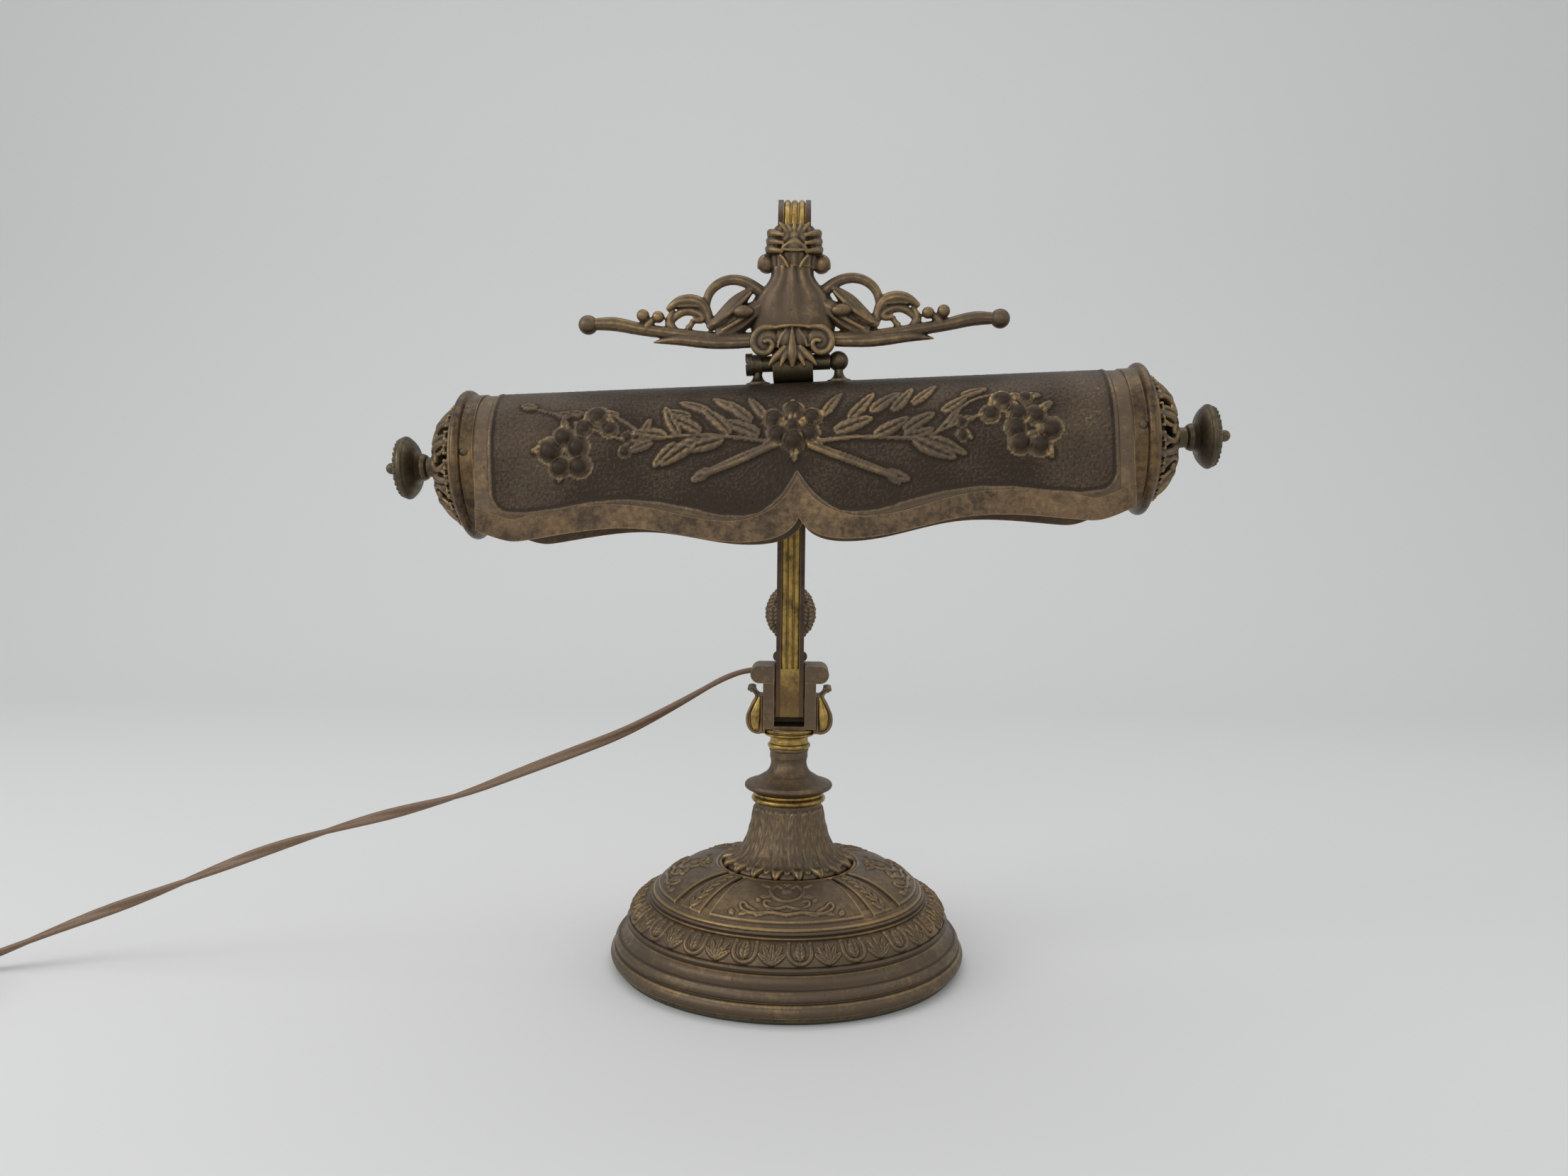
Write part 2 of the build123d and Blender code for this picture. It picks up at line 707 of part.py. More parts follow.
# Ball at each end of the bracket, with a flat towards its bar
tip_flat_angle = math.degrees(math.acos((tip_flat_reach - tip_ball_reach) / tip_ball_radius))
with BuildPart() as tip_balls:
    for side in (-1, 1):
        centre = bracket_plane.from_local_coords((side * tip_ball_reach, tip_ball_rise, 0))
        with BuildSketch(Plane(origin=centre, x_dir=bracket_plane.x_dir * side, z_dir=bracket_plane.z_dir)):
            with BuildLine():
                ball_arc = CenterArc((0, 0), tip_ball_radius, 0, tip_flat_angle)
                Polyline(ball_arc @ 1, ((ball_arc @ 1).X, 0), ball_arc @ 0)
            make_face()
        revolve(axis=Axis(centre, bracket_plane.x_dir))
tip_balls.part.label = "tip_balls"
export_step(tip_balls.part, "parts/tip_balls.step")

# Frame of the shade: on the hinge line, turned, rolled and tipped as the lamp stands
yaw = math.radians(shade_yaw)
roll = math.radians(shade_roll)
hinge_x = Vector(math.cos(yaw) * math.cos(roll), -math.sin(yaw) * math.cos(roll), math.sin(roll))
hinge_y = Vector(math.sin(yaw), math.cos(yaw), 0)
tip = math.radians(shade_pitch)
hinge_frame = Plane(
    origin=(0, -arm_reach, hinge_height),
    x_dir=hinge_x,
    z_dir=hinge_x.cross(hinge_y) * math.cos(tip) - hinge_y * math.sin(tip),
)
shade_frame = Plane(
    origin=hinge_frame.from_local_coords((shade_shift, 0, -shade_drop)),
    x_dir=hinge_frame.x_dir,
    z_dir=hinge_frame.z_dir,
)
shade_axis = Axis(shade_frame.origin, shade_frame.x_dir)
print("hinge axis", hinge_frame.x_dir, "shade centre", shade_frame.origin)


# Planes in a tilted frame: across its x axis, or facing its front, or parallel to its floor
def across(frame, x=0.0, y=0.0, z=0.0):
    return Plane(origin=frame.from_local_coords((x, y, z)), x_dir=frame.y_dir, z_dir=frame.x_dir)


def facing_front(frame, x=0.0, y=0.0, z=0.0):
    return Plane(origin=frame.from_local_coords((x, y, z)), x_dir=frame.x_dir, z_dir=frame.y_dir * -1)


# Plane of a turned profile round the shade's axis: x is the radius, y runs out to one end
def end_profile(side):
    return Plane(origin=shade_frame.origin, x_dir=shade_frame.z_dir, z_dir=shade_frame.y_dir * side)


# Knuckle under the bell, between the posts of the shade
with BuildPart() as hinge_knuckle:
    with BuildSketch(across(hinge_frame, x=-knuckle_half_width)):
        Circle(knuckle_radius)
        Circle(hinge_pin_radius + run_gap, mode=Mode.SUBTRACT)
    extrude(amount=2 * knuckle_half_width)
    split(bisect_by=Plane.XY.offset(bracket_low), keep=Keep.BOTTOM)
hinge_knuckle.part.label = "hinge_knuckle"
export_step(hinge_knuckle.part, "parts/hinge_knuckle.step")

# Palmette in front of the knuckle, with the small leaf that hangs from it
with BuildPart() as palmette:
    with BuildSketch(Plane.XZ.offset(arm_reach + palmette_front)):
        with Locations((0, bracket_low - 0.4)):
            Ellipse(9.0, 6.4)
        for side in (-1, 1):
            with Locations((side * 12.0, bracket_low + 0.8)):
                Ellipse(5.2, 4.6)
            with Locations((side * 7.6, bracket_low - 2.6)):
                Ellipse(4.8, 3.6)
            with Locations((side * 10.0, bracket_low + 4.4)):
                Circle(2.6)
        with BuildLine():
            Polyline((-4.8, bracket_low - 4.0), (0, bracket_low - 11.0), (4.8, bracket_low - 4.0), close=True)
        make_face()
    extrude(amount=-palmette_thick)
    with BuildSketch(Plane.XZ.offset(arm_reach + palmette_front - palmette_thick)):
        with Locations((0, bracket_low + 3.0)):
            Rectangle(16.0, 5.0)
    extrude(amount=-4.0)
    add(bracket.part, mode=Mode.SUBTRACT)
palmette.part.label = "palmette"
export_step(palmette.part, "parts/palmette.step")

# Shade shell: half round with straight skirts, cut along the wavy rim, plus a lap under each collar
body_half = shade_length / 2 - band_width
flange_half = shade_length / 2
skirt_low = -45.0


# Wavy edge from the notch to one end, as the rim itself or lifted to the inner border of the band
def rim_wave(side, inner):
    lift = rim_band_width if inner else 0.0
    apex = -12.0 if inner else -28.9
    wave = [(0.0, apex), (21.3, lift - 38.3), (72.0, lift - 30.8), (115.0, lift - 34.4)]
    wave.append((body_half, lift - shade_radius))
    points = [(notch_shift * (1 - x / body_half) + side * x, z) for x, z in wave]
    return Spline(points, tangents=[(side * 0.45, -1.0), (side * 1.0, 0.45)], mode=Mode.PRIVATE)


with BuildPart() as shade_shell:
    with BuildSketch(across(shade_frame, x=-body_half)):
        Circle(shade_radius)
        Rectangle(2 * shade_radius, -skirt_low, align=(Align.CENTER, Align.MAX))
        Circle(shade_radius - shade_wall, mode=Mode.SUBTRACT)
        Rectangle(
            2 * (shade_radius - shade_wall), -skirt_low, align=(Align.CENTER, Align.MAX), mode=Mode.SUBTRACT
        )
    extrude(amount=2 * body_half)
    with BuildSketch(facing_front(shade_frame)):
        with BuildLine():
            add(rim_wave(1, False))
            add(rim_wave(-1, False))
            Polyline(
                (body_half, -shade_radius),
                (body_half + 1.0, -shade_radius),
                (body_half + 1.0, skirt_low - 1.0),
                (-body_half - 1.0, skirt_low - 1.0),
                (-body_half - 1.0, -shade_radius),
                (-body_half, -shade_radius),
            )
        make_face()
    extrude(amount=shade_radius + 2.0, both=True, mode=Mode.SUBTRACT)
    for side in (-1, 1):
        with BuildSketch(across(shade_frame, x=side * body_half)):
            Circle(shade_radius)
            Circle(shade_radius - shade_wall, mode=Mode.SUBTRACT)
            Rectangle(2 * shade_radius, shade_radius, align=(Align.CENTER, Align.MAX), mode=Mode.SUBTRACT)
        extrude(amount=side * (band_width - 2.0))
        with BuildSketch(facing_front(shade_frame)):
            with Locations((side * (body_half + band_width / 2 - 1.0), rivet_rise)):
                Circle(rivet_shank + run_gap)
        extrude(amount=shade_radius + 2.0, mode=Mode.SUBTRACT)
shade_shell.part.label = "shade_shell"
export_step(shade_shell.part, "parts/shade_shell.step")

# Raised band along the rim, on the front and the back skirt
with BuildPart() as rim_band:
    for side in (-1, 1):
        skirt = facing_front(shade_frame, y=side * shade_radius)
        with BuildSketch(skirt):
            with BuildLine():
                for end in (-1, 1):
                    add(rim_wave(end, False))
                    add(rim_wave(end, True))
                    Line((end * body_half, -shade_radius), (end * body_half, rim_band_width - shade_radius))
            make_face()
        extrude(amount=-side * rim_band_thick)
rim_band.part.label = "rim_band"
export_step(rim_band.part, "parts/rim_band.step")

# Collar with its flange, pierced cap and rivet at each end
for side, name in ((-1, "left"), (1, "right")):
    with BuildPart() as end_ring:
        with BuildSketch(end_profile(side)):
            add(turned_face(
                (shade_radius, body_half),
                (shade_radius + band_thick, body_half),
                (shade_radius + band_thick, flange_half - flange_ring_thick - 0.6),
                (flange_ring_radius - 1.0, flange_half - flange_ring_thick),
                (flange_ring_radius - 1.0, flange_half, 1.0),
                (flange_inner_radius, flange_half),
                (flange_inner_radius, flange_half - 1.5),
                (shade_radius, flange_half - 1.5),
            ))
        revolve(axis=shade_axis)
        with BuildSketch(facing_front(shade_frame)):
            with Locations((side * (body_half + band_width / 2 - 1.0), rivet_rise)):
                Circle(rivet_shank + run_gap)
        extrude(amount=shade_radius + 2.0, mode=Mode.SUBTRACT)
    end_ring.part.label = f"end_ring_{name}"
    export_step(end_ring.part, f"parts/end_ring_{name}.step")

    cap_top = flange_half + cap_height
    cap_bore = finial_stud_radius + run_gap
    with BuildPart() as end_cap:
        with BuildSketch(end_profile(side)):
            add(turned_face(
                (cap_radius, flange_half),
                (cap_radius, flange_half + 1.6),
                (6.0, cap_top - 0.4, 4.2),
                (6.0, cap_top),
                (cap_bore, cap_top),
                (cap_bore, cap_top - cap_wall),
                (6.0, cap_top - cap_wall),
                (cap_radius - 1.6, flange_half, -4.2),
            ))
        revolve(axis=shade_axis)
        with BuildSketch(across(shade_frame, x=side * flange_half)):
            with PolarLocations(cap_hole_circle, cap_holes):
                SlotOverall(7.4, 3.6)
            with PolarLocations(cap_hole_circle - 5.6, cap_holes, start_angle=180 / cap_holes):
                Circle(1.1)
        extrude(amount=side * cap_height, mode=Mode.SUBTRACT)
    end_cap.part.label = f"end_cap_{name}"
    export_step(end_cap.part, f"parts/end_cap_{name}.step")

# One rivet through each collar and the shell's lap
rivet_seat = shade_radius + band_thick
with BuildPart() as band_rivets:
    for side in (-1, 1):
        centre = shade_frame.from_local_coords((side * (body_half + band_width / 2 - 1.0), 0, rivet_rise))
        with BuildSketch(Plane(origin=centre, x_dir=shade_frame.x_dir, z_dir=shade_frame.z_dir)):
            add(turned_face(
                (0, -rivet_seat + 2.2),
                (0, -rivet_seat - 1.1),
                (rivet_radius, -rivet_seat, 0.35),
                (rivet_shank, -rivet_seat),
                (rivet_shank, -rivet_seat + 2.2),
            ))
        revolve(axis=Axis(centre, shade_frame.y_dir))
band_rivets.part.label = "band_rivets"
export_step(band_rivets.part, "parts/band_rivets.step")

# Two posts with flared feet on the shade: a flat eye on the left, a ball on the right
left_eye_middle = (left_eye_inner + left_eye_outer) / 2
shade_top = shade_radius - shade_drop
with BuildPart() as hinge_posts:
    for place in (-left_eye_middle, right_ball_reach):
        post_foot = hinge_frame.from_local_coords((place, 0, 0))
        with BuildSketch(Plane(origin=post_foot, x_dir=hinge_frame.x_dir, z_dir=hinge_frame.y_dir * -1)):
            add(turned_face(
                (0, shade_top - 1.2),
                (foot_flare_radius, shade_top - 1.2),
                (foot_flare_radius, shade_top + 0.9),
                (post_neck_radius, shade_top + 4.6, -0.9),
                (post_neck_radius, 0),
                (0, 0),
            ))
        revolve(axis=Axis(post_foot, hinge_frame.z_dir))
    with BuildSketch(across(hinge_frame, x=-left_eye_outer)):
        Circle(left_eye_radius)
    extrude(amount=left_eye_outer - left_eye_inner)
    with Locations(hinge_frame.from_local_coords((right_ball_reach, 0, 0))):
        Sphere(right_ball_radius)
    with BuildSketch(across(hinge_frame, x=-left_eye_outer)):
        Circle(hinge_pin_radius + run_gap)
    extrude(amount=left_eye_outer + right_ball_reach + 1.0, mode=Mode.SUBTRACT)
    with BuildSketch(across(shade_frame, x=-body_half)):
        Circle(shade_radius)
    extrude(amount=2 * body_half, mode=Mode.SUBTRACT)
hinge_posts.part.label = "hinge_posts"
export_step(hinge_posts.part, "parts/hinge_posts.step")

# Hinge pin with its slotted head on the left
with BuildPart() as hinge_screw:
    with BuildSketch(across(hinge_frame, x=-left_eye_outer)):
        Circle(hinge_pin_radius)
    extrude(amount=left_eye_outer + right_ball_reach)
    with BuildSketch(across(hinge_frame, x=-left_eye_outer - hinge_head_thick)):
        Circle(hinge_head_radius)
    extrude(amount=hinge_head_thick)
    with BuildSketch(across(hinge_frame, x=-left_eye_outer - hinge_head_thick)):
        Rectangle(2 * hinge_head_radius + 1.0, 1.2)
    extrude(amount=1.2, mode=Mode.SUBTRACT)
hinge_screw.part.label = "hinge_screw"
export_step(hinge_screw.part, "parts/hinge_screw.step")

# Spacer sleeves between the knuckle and the posts
with BuildPart() as hinge_spacers:
    sleeve_start = knuckle_half_width + side_gap
    for start, length in (
        (-left_eye_inner, left_eye_inner - sleeve_start),
        (sleeve_start, right_ball_reach - right_ball_radius + 0.8 - sleeve_start),
    ):
        with BuildSketch(across(hinge_frame, x=start)):
            Circle(spacer_radius)
            Circle(hinge_pin_radius + run_gap, mode=Mode.SUBTRACT)
        extrude(amount=length)
    add(hinge_posts.part, mode=Mode.SUBTRACT)
hinge_spacers.part.label = "hinge_spacers"
export_step(hinge_spacers.part, "parts/hinge_spacers.step")

# Finials: collar, beaded disc and ball tip. The left one is fixed, the right one is the switch knob
def finial_face(seat, stud_end):
    tip_neck = 2.0
    tip_rise = tip_radius + math.sqrt(tip_radius**2 - tip_neck**2)
    tip_chord = math.hypot(tip_neck, tip_rise)
    return turned_face(
        (0, stud_end),
        (finial_stud_radius, stud_end),
        (finial_stud_radius, seat),
        (5.8, seat),
        (5.8, seat + 1.8, 0.4),
        (4.4, seat + 2.8),
        (4.2, seat + 6.0),
        (5.6, seat + 7.4, 0.3),
        (5.6, seat + 9.2, 0.3),
        (7.0, seat + 10.4),
        (finial_radius - 0.6, seat + 13.8, 0.8),
        (finial_radius - 0.6, seat + 16.4, 0.7),
        (6.4, seat + 19.4, 0.8),
        (3.0, seat + 20.2),
        (tip_neck, seat + 20.8),
        (0, seat + 20.8 + tip_rise, tip_radius - math.sqrt(tip_radius**2 - tip_chord**2 / 4)),
    )


nut_seat = cap_top - cap_wall
with BuildPart() as finial_left:
    with BuildSketch(end_profile(-1)):
        add(finial_face(cap_top, nut_seat - finial_nut_thick - 1.0))
    revolve(axis=shade_axis)
finial_left.part.label = "finial_left"
export_step(finial_left.part, "parts/finial_left.step")

with BuildPart() as finial_nut:
    with BuildSketch(across(shade_frame, x=-nut_seat)):
        RegularPolygon(finial_nut_flats / 2, 6, major_radius=False)
        Circle(finial_stud_radius + run_gap, mode=Mode.SUBTRACT)
    extrude(amount=finial_nut_thick)
finial_nut.part.label = "finial_nut"
export_step(finial_nut.part, "parts/finial_nut.step")

shaft_end = nut_seat - switch_back_gap - switch_length / 2
with BuildPart() as finial_right:
    with BuildSketch(end_profile(1)):
        add(finial_face(cap_top + rest_gap, shaft_end))
    revolve(axis=shade_axis)
finial_right.part.label = "finial_right"
export_step(finial_right.part, "parts/finial_right.step")

# Switch body behind the right cap, held by its threaded nipple
switch_high = nut_seat - switch_back_gap
switch_low = switch_high - switch_length
shaft_bore = finial_stud_radius + run_gap
with BuildPart() as switch_body:
    with BuildSketch(end_profile(1)):
        add(turned_face(
            (0, switch_low),
            (switch_radius, switch_low),
            (switch_radius, switch_high - 1.0),
            (switch_radius - 1.0, switch_high),
            (nipple_radius, switch_high),
            (nipple_radius, nut_seat),
            (shaft_bore, nut_seat),
            (shaft_bore, shaft_end - side_gap),
            (0, shaft_end - side_gap),
        ))
    revolve(axis=shade_axis)
switch_body.part.label = "switch_body"
export_step(switch_body.part, "parts/switch_body.step")

# Socket shell, closed towards the switch
socket_low = switch_low - socket_length
with BuildPart() as lamp_socket:
    with BuildSketch(end_profile(1)):
        add(turned_face(
            (0, switch_low),
            (0, switch_low - 1.0),
            (socket_radius - socket_wall, switch_low - 1.0),
            (socket_radius - socket_wall, socket_low + 0.4),
            (socket_radius - socket_wall, socket_low),
            (socket_radius + 0.5, socket_low),
            (socket_radius + 0.5, socket_low + 2.0, 0.3),
            (socket_radius, socket_low + 2.4),
            (socket_radius, switch_low - 1.2),
            (socket_radius - 1.2, switch_low, 0.3),
        ))
    revolve(axis=shade_axis)
lamp_socket.part.label = "lamp_socket"
export_step(lamp_socket.part, "parts/lamp_socket.step")

# Insulating base and threaded sleeve inside the socket
insert_low = socket_low + 1.5
insert_high = insert_low + insert_length
with BuildPart() as socket_insert:
    with BuildSketch(end_profile(1)):
        add(turned_face(
            (0, insert_high),
            (0, switch_low - 1.0),
            (socket_radius - socket_wall, switch_low - 1.0),
            (socket_radius - socket_wall, insert_high),
            (insert_radius, insert_high),
            (insert_radius, insert_low),
            (insert_radius - insert_wall, insert_low),
            (insert_radius - insert_wall, insert_high),
        ))
    revolve(axis=shade_axis)
socket_insert.part.label = "socket_insert"
export_step(socket_insert.part, "parts/socket_insert.step")

# Tubular bulb: threaded cap with its contact, and the glass
cap_foot = insert_high - 2.0
cap_edge = insert_low + 1.0
with BuildPart() as bulb_cap:
    with BuildSketch(end_profile(1)):
        add(turned_face(
            (0, insert_high),
            (0, cap_edge),
            (bulb_cap_radius, cap_edge),
            (bulb_cap_radius, cap_foot - 3.0),
            (4.5, cap_foot),
            (4.5, insert_high - 0.6),
            (3.5, insert_high),
        ))
    revolve(axis=shade_axis)
bulb_cap.part.label = "bulb_cap"
export_step(bulb_cap.part, "parts/bulb_cap.step")

bulb_low = cap_edge - bulb_length
neck_length = 9.0
with BuildPart() as bulb_glass:
    with BuildSketch(end_profile(1)):
        add(turned_face(
            (0, cap_edge),
            (0, bulb_low),
            (bulb_radius - 6.0, bulb_low + 2.6, -1.0),
            (bulb_radius, bulb_low + 9.0, -1.4),
            (bulb_radius, cap_edge - neck_length),
            (bulb_cap_radius - 0.4, cap_edge, -0.6),
        ))
    revolve(axis=shade_axis)
bulb_glass.part.label = "bulb_glass"
export_step(bulb_glass.part, "parts/bulb_glass.step")

# Free stretch of the cord, from the bushing out to the left and down to the table
floor_line = cord_width / 2
cord_route = [
    (cord_exit.X, cord_exit.Y, cord_exit.Z),
    (-20.0, cord_exit.Y, cord_exit.Z),
    (-34.0, 14.2, 142.8),
    (-50.0, 12.7, 133.4),
    (-67.0, 11.2, 123.8),
    (-87.0, 8.8, 113.4),
    (-112.0, 5.9, 103.8),
    (-140.0, 3.2, 93.0),
    (-168.2, 0.6, 81.8),
    (-197.7, -2.0, 74.0),
    (-224.1, -4.5, 67.2),
    (-260.6, -8.7, 56.4),
    (-292.8, -12.5, 44.0),
    (-324.4, -16.7, 31.6),
    (-352.6, -23.3, 21.8),
    (-380.0, -31.8, 11.2),
    (-402.5, -39.6, floor_line),
    (-425.5, -46.8, floor_line),
]


# Largest corner radii that the runs of a route allow
def corner_radii(route):
    radii = []
    points = [Vector(point) for point in route]
    for before, corner, after in zip(points, points[1:], points[2:]):
        half_turn = math.radians((corner - before).get_angle(after - corner)) / 2
        shorter = min((corner - before).length, (after - corner).length)
        radii.append(0.45 * shorter / math.tan(half_turn))
    return radii


cord_radii = corner_radii(cord_route)
with BuildPart() as cord:
    with BuildLine():
        cord_line = FilletPolyline(cord_route, radius=cord_radii)
    with BuildSketch(Plane(origin=cord_route[0], x_dir=(0, 1, 0), z_dir=(-1, 0, 0))):
        Circle(cord_width / 2)
    sweep()
cord.part.label = "cord"
export_step(cord.part, "parts/cord.step")
cord_section = math.pi * cord_width**2 / 4
print("cord radii", [round(radius, 1) for radius in cord_radii], "length", round(cord_line.length, 1))
print("cord volume over section times length", cord.part.volume / (cord_section * cord_line.length))

# Coil: spirals in on the table, climbs a layer in half a turn, spirals out again on top. Its two
# ends run straight
coil_entry = Vector(*cord_route[-1])
coil_heading = (coil_entry - Vector(*cord_route[-2])).normalized()
coil_start = coil_entry + coil_heading * cord_width
coil_centre = coil_start + Vector(-coil_heading.Y, coil_heading.X, 0) * coil_radius
start_angle = math.atan2(coil_start.Y - coil_centre.Y, coil_start.X - coil_centre.X)
climb_start = 2 * math.pi * coil_turns_in
coil_reverse = climb_start + math.pi / 2
coil_end = climb_start + math.pi + 2 * math.pi * coil_turns_out
coil_inner = coil_radius - coil_pitch * coil_reverse / (2 * math.pi)


# Point of the coil's centre line after a given angle
def coil_point(angle):
    radius = coil_inner + coil_pitch * abs(angle - coil_reverse) / (2 * math.pi)
    climbed = min(max((angle - climb_start) / math.pi, 0.0), 1.0)
    height = floor_line + coil_layer * (1 - math.cos(math.pi * climbed)) / 2
    turned = start_angle + angle
    across_x = coil_centre.X + radius * math.cos(turned)
    across_y = coil_centre.Y + radius * math.sin(turned)
    return Vector(across_x, across_y, height)


# Two arcs that join two points with given directions
def biarc(start, start_way, end, end_way):
    span = end - start
    both = start_way + end_way
    weight = 2 * (1 - start_way.dot(end_way))
    reach = (math.sqrt(span.dot(both) ** 2 + weight * span.dot(span)) - span.dot(both)) / weight
    first = start + start_way * reach
    second = end - end_way * reach
    middle = (first + second) * 0.5
    TangentArc(start, middle, tangent=start_way)
    TangentArc(middle, end, tangent=second - first)


quarter = math.pi / 2
coil_steps = round(coil_end / quarter)
coil_nodes = [coil_point(step * quarter) for step in range(coil_steps + 1)]
coil_ways = []
for step in range(coil_steps + 1):
    behind = coil_point(max(step * quarter - 0.02, 0.0))
    ahead = coil_point(min(step * quarter + 0.02, coil_end))
    coil_ways.append((ahead - behind).normalized())
coil_ways[0] = coil_heading
coil_exit = coil_nodes[-1] + coil_ways[-1] * coil_tail
with BuildPart() as cord_coil:
    with BuildLine() as coil_path:
        Line(coil_entry, coil_start)
        for step in range(coil_steps):
            biarc(coil_nodes[step], coil_ways[step], coil_nodes[step + 1], coil_ways[step + 1])
        Line(coil_nodes[-1], coil_exit)
    with BuildSketch(Plane(origin=coil_entry, z_dir=coil_heading)):
        Circle(cord_width / 2)
    sweep()
cord_coil.part.label = "cord_coil"
export_step(cord_coil.part, "parts/cord_coil.step")
coil_wire = coil_path.wire()
print("coil length", round(coil_wire.length, 1))
print("coil volume over section times length", cord_coil.part.volume / (cord_section * coil_wire.length))

# Least gap of the coil to itself, measured between points that lie far apart along it
sample_count = 900
samples = [coil_wire.position_at(index / sample_count) for index in range(sample_count + 1)]
apart = round(sample_count * 40.0 / coil_wire.length)
least = min(
    (samples[first] - samples[second]).length
    for first in range(sample_count + 1)
    for second in range(first + apart, sample_count + 1)
)
print("coil least gap", round(least - cord_width, 3))

# Plug on the table: strain relief, body with two blades
plug_way = coil_ways[-1]
relief_plane = Plane(origin=coil_exit, x_dir=Vector(0, 0, 1), z_dir=plug_way)
body_plane = relief_plane.offset(relief_length)
plug_half = coil_exit.Z
with BuildPart() as plug_relief:
    with BuildSketch(relief_plane):
        Circle(cord_width / 2 + 1.0)
    with BuildSketch(body_plane):
        Circle(cord_width / 2 + 3.0)
    loft()
plug_relief.part.label = "plug_relief"
export_step(plug_relief.part, "parts/plug_relief.step")

with BuildPart() as plug_body:
    with BuildSketch(body_plane):
        RectangleRounded(2 * plug_half, plug_width - 6.0, 4.0)
    with BuildSketch(body_plane.offset(plug_length * 0.45)):
        RectangleRounded(2 * plug_half, plug_width - 8.0, 4.0)
    with BuildSketch(body_plane.offset(plug_length)):
        RectangleRounded(2 * plug_half, plug_width, 4.0)
    loft()
plug_body.part.label = "plug_body"
export_step(plug_body.part, "parts/plug_body.step")

with BuildPart() as plug_blades:
    with BuildSketch(body_plane.offset(plug_length)):
        with GridLocations(0, blade_spacing, 1, 2):
            Rectangle(blade_width, blade_thick)
    extrude(amount=blade_length)
plug_blades.part.label = "plug_blades"
export_step(plug_blades.part, "parts/plug_blades.step")
print("coil entry", coil_entry, "exit", coil_exit, "way", plug_way, "centre", coil_centre)
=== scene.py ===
# Antique desk lamp: gilt brass under a brown patina, with a long embossed shade
import math

import bmesh
import bpy
import numpy as np
from mathutils import Matrix, Vector, noise


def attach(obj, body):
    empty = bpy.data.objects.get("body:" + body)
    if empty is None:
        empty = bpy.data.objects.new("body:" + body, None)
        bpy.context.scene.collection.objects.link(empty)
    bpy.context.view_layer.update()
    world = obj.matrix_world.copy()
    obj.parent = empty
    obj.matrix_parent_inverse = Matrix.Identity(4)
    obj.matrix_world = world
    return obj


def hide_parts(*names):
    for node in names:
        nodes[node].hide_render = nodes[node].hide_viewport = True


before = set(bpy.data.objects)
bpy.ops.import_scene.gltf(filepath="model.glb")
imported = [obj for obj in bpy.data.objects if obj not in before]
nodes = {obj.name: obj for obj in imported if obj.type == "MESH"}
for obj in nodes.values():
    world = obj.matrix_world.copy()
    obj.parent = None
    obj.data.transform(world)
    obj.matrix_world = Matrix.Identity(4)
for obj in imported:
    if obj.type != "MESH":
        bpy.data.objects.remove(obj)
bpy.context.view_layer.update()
mm = 0.001
print("frame loaded")


# Camera and light

view = {
    "place": (1.8, -628.1, 231.7),  # mm, in front of the lamp and a little over its shade
    "focal": 1750.0,  # in pixels of the photograph's width
    "width": 2212.0,
    "tipDown": 3.73,  # degrees
    "turnLeft": 0.48,
    "roll": 0.66,
    "sensor": 36.0,  # mm
}


def setCamera():
    tip, turn, roll = (math.radians(view[key]) for key in ("tipDown", "turnLeft", "roll"))
    level = Vector((-math.sin(turn), math.cos(turn), 0))
    across = Vector((math.cos(turn), math.sin(turn), 0))
    ahead = level * math.cos(tip) - Vector((0, 0, 1)) * math.sin(tip)
    above = level * math.sin(tip) + Vector((0, 0, 1)) * math.cos(tip)
    right = across * math.cos(roll) + above * math.sin(roll)
    up = above * math.cos(roll) - across * math.sin(roll)
    data = bpy.data.cameras.new("photoCamera")
    data.sensor_width = view["sensor"]
    data.lens = view["focal"] * view["sensor"] / view["width"]
    data.clip_start = 0.01
    data.clip_end = 50.0
    camera = bpy.data.objects.new("photoCamera", data)
    bpy.context.scene.collection.objects.link(camera)
    turned = Matrix((right, up, -ahead)).transposed().to_4x4()
    camera.matrix_world = Matrix.Translation(Vector(view["place"]) * mm) @ turned
    bpy.context.scene.camera = camera


def linear(hexColour):
    # sRGB hex to the linear values that shaders take
    parts = [int(hexColour[i:i + 2], 16) / 255 for i in (1, 3, 5)]
    return tuple([p / 12.92 if p <= 0.04045 else ((p + 0.055) / 1.055) ** 2.4 for p in parts] + [1.0])


def addNode(tree, kind, settings=None, links=None):
    # One node with its settings and what feeds it. A settings key is an input, or a property of the node
    made = tree.nodes.new(kind)
    for key, value in (settings or {}).items():
        if isinstance(key, str) and hasattr(made, key):
            setattr(made, key, value)
        else:
            made.inputs[key].default_value = value
    for key, source in (links or {}).items():
        tree.links.new(source, made.inputs[key])
    return made


def newMaterial(name):
    made = bpy.data.materials.new(name)
    made.use_nodes = True
    tree = made.node_tree
    tree.nodes.clear()
    shader = addNode(tree, "ShaderNodeBsdfPrincipled")
    addNode(tree, "ShaderNodeOutputMaterial", links={"Surface": shader.outputs[0]})
    return made, tree, shader


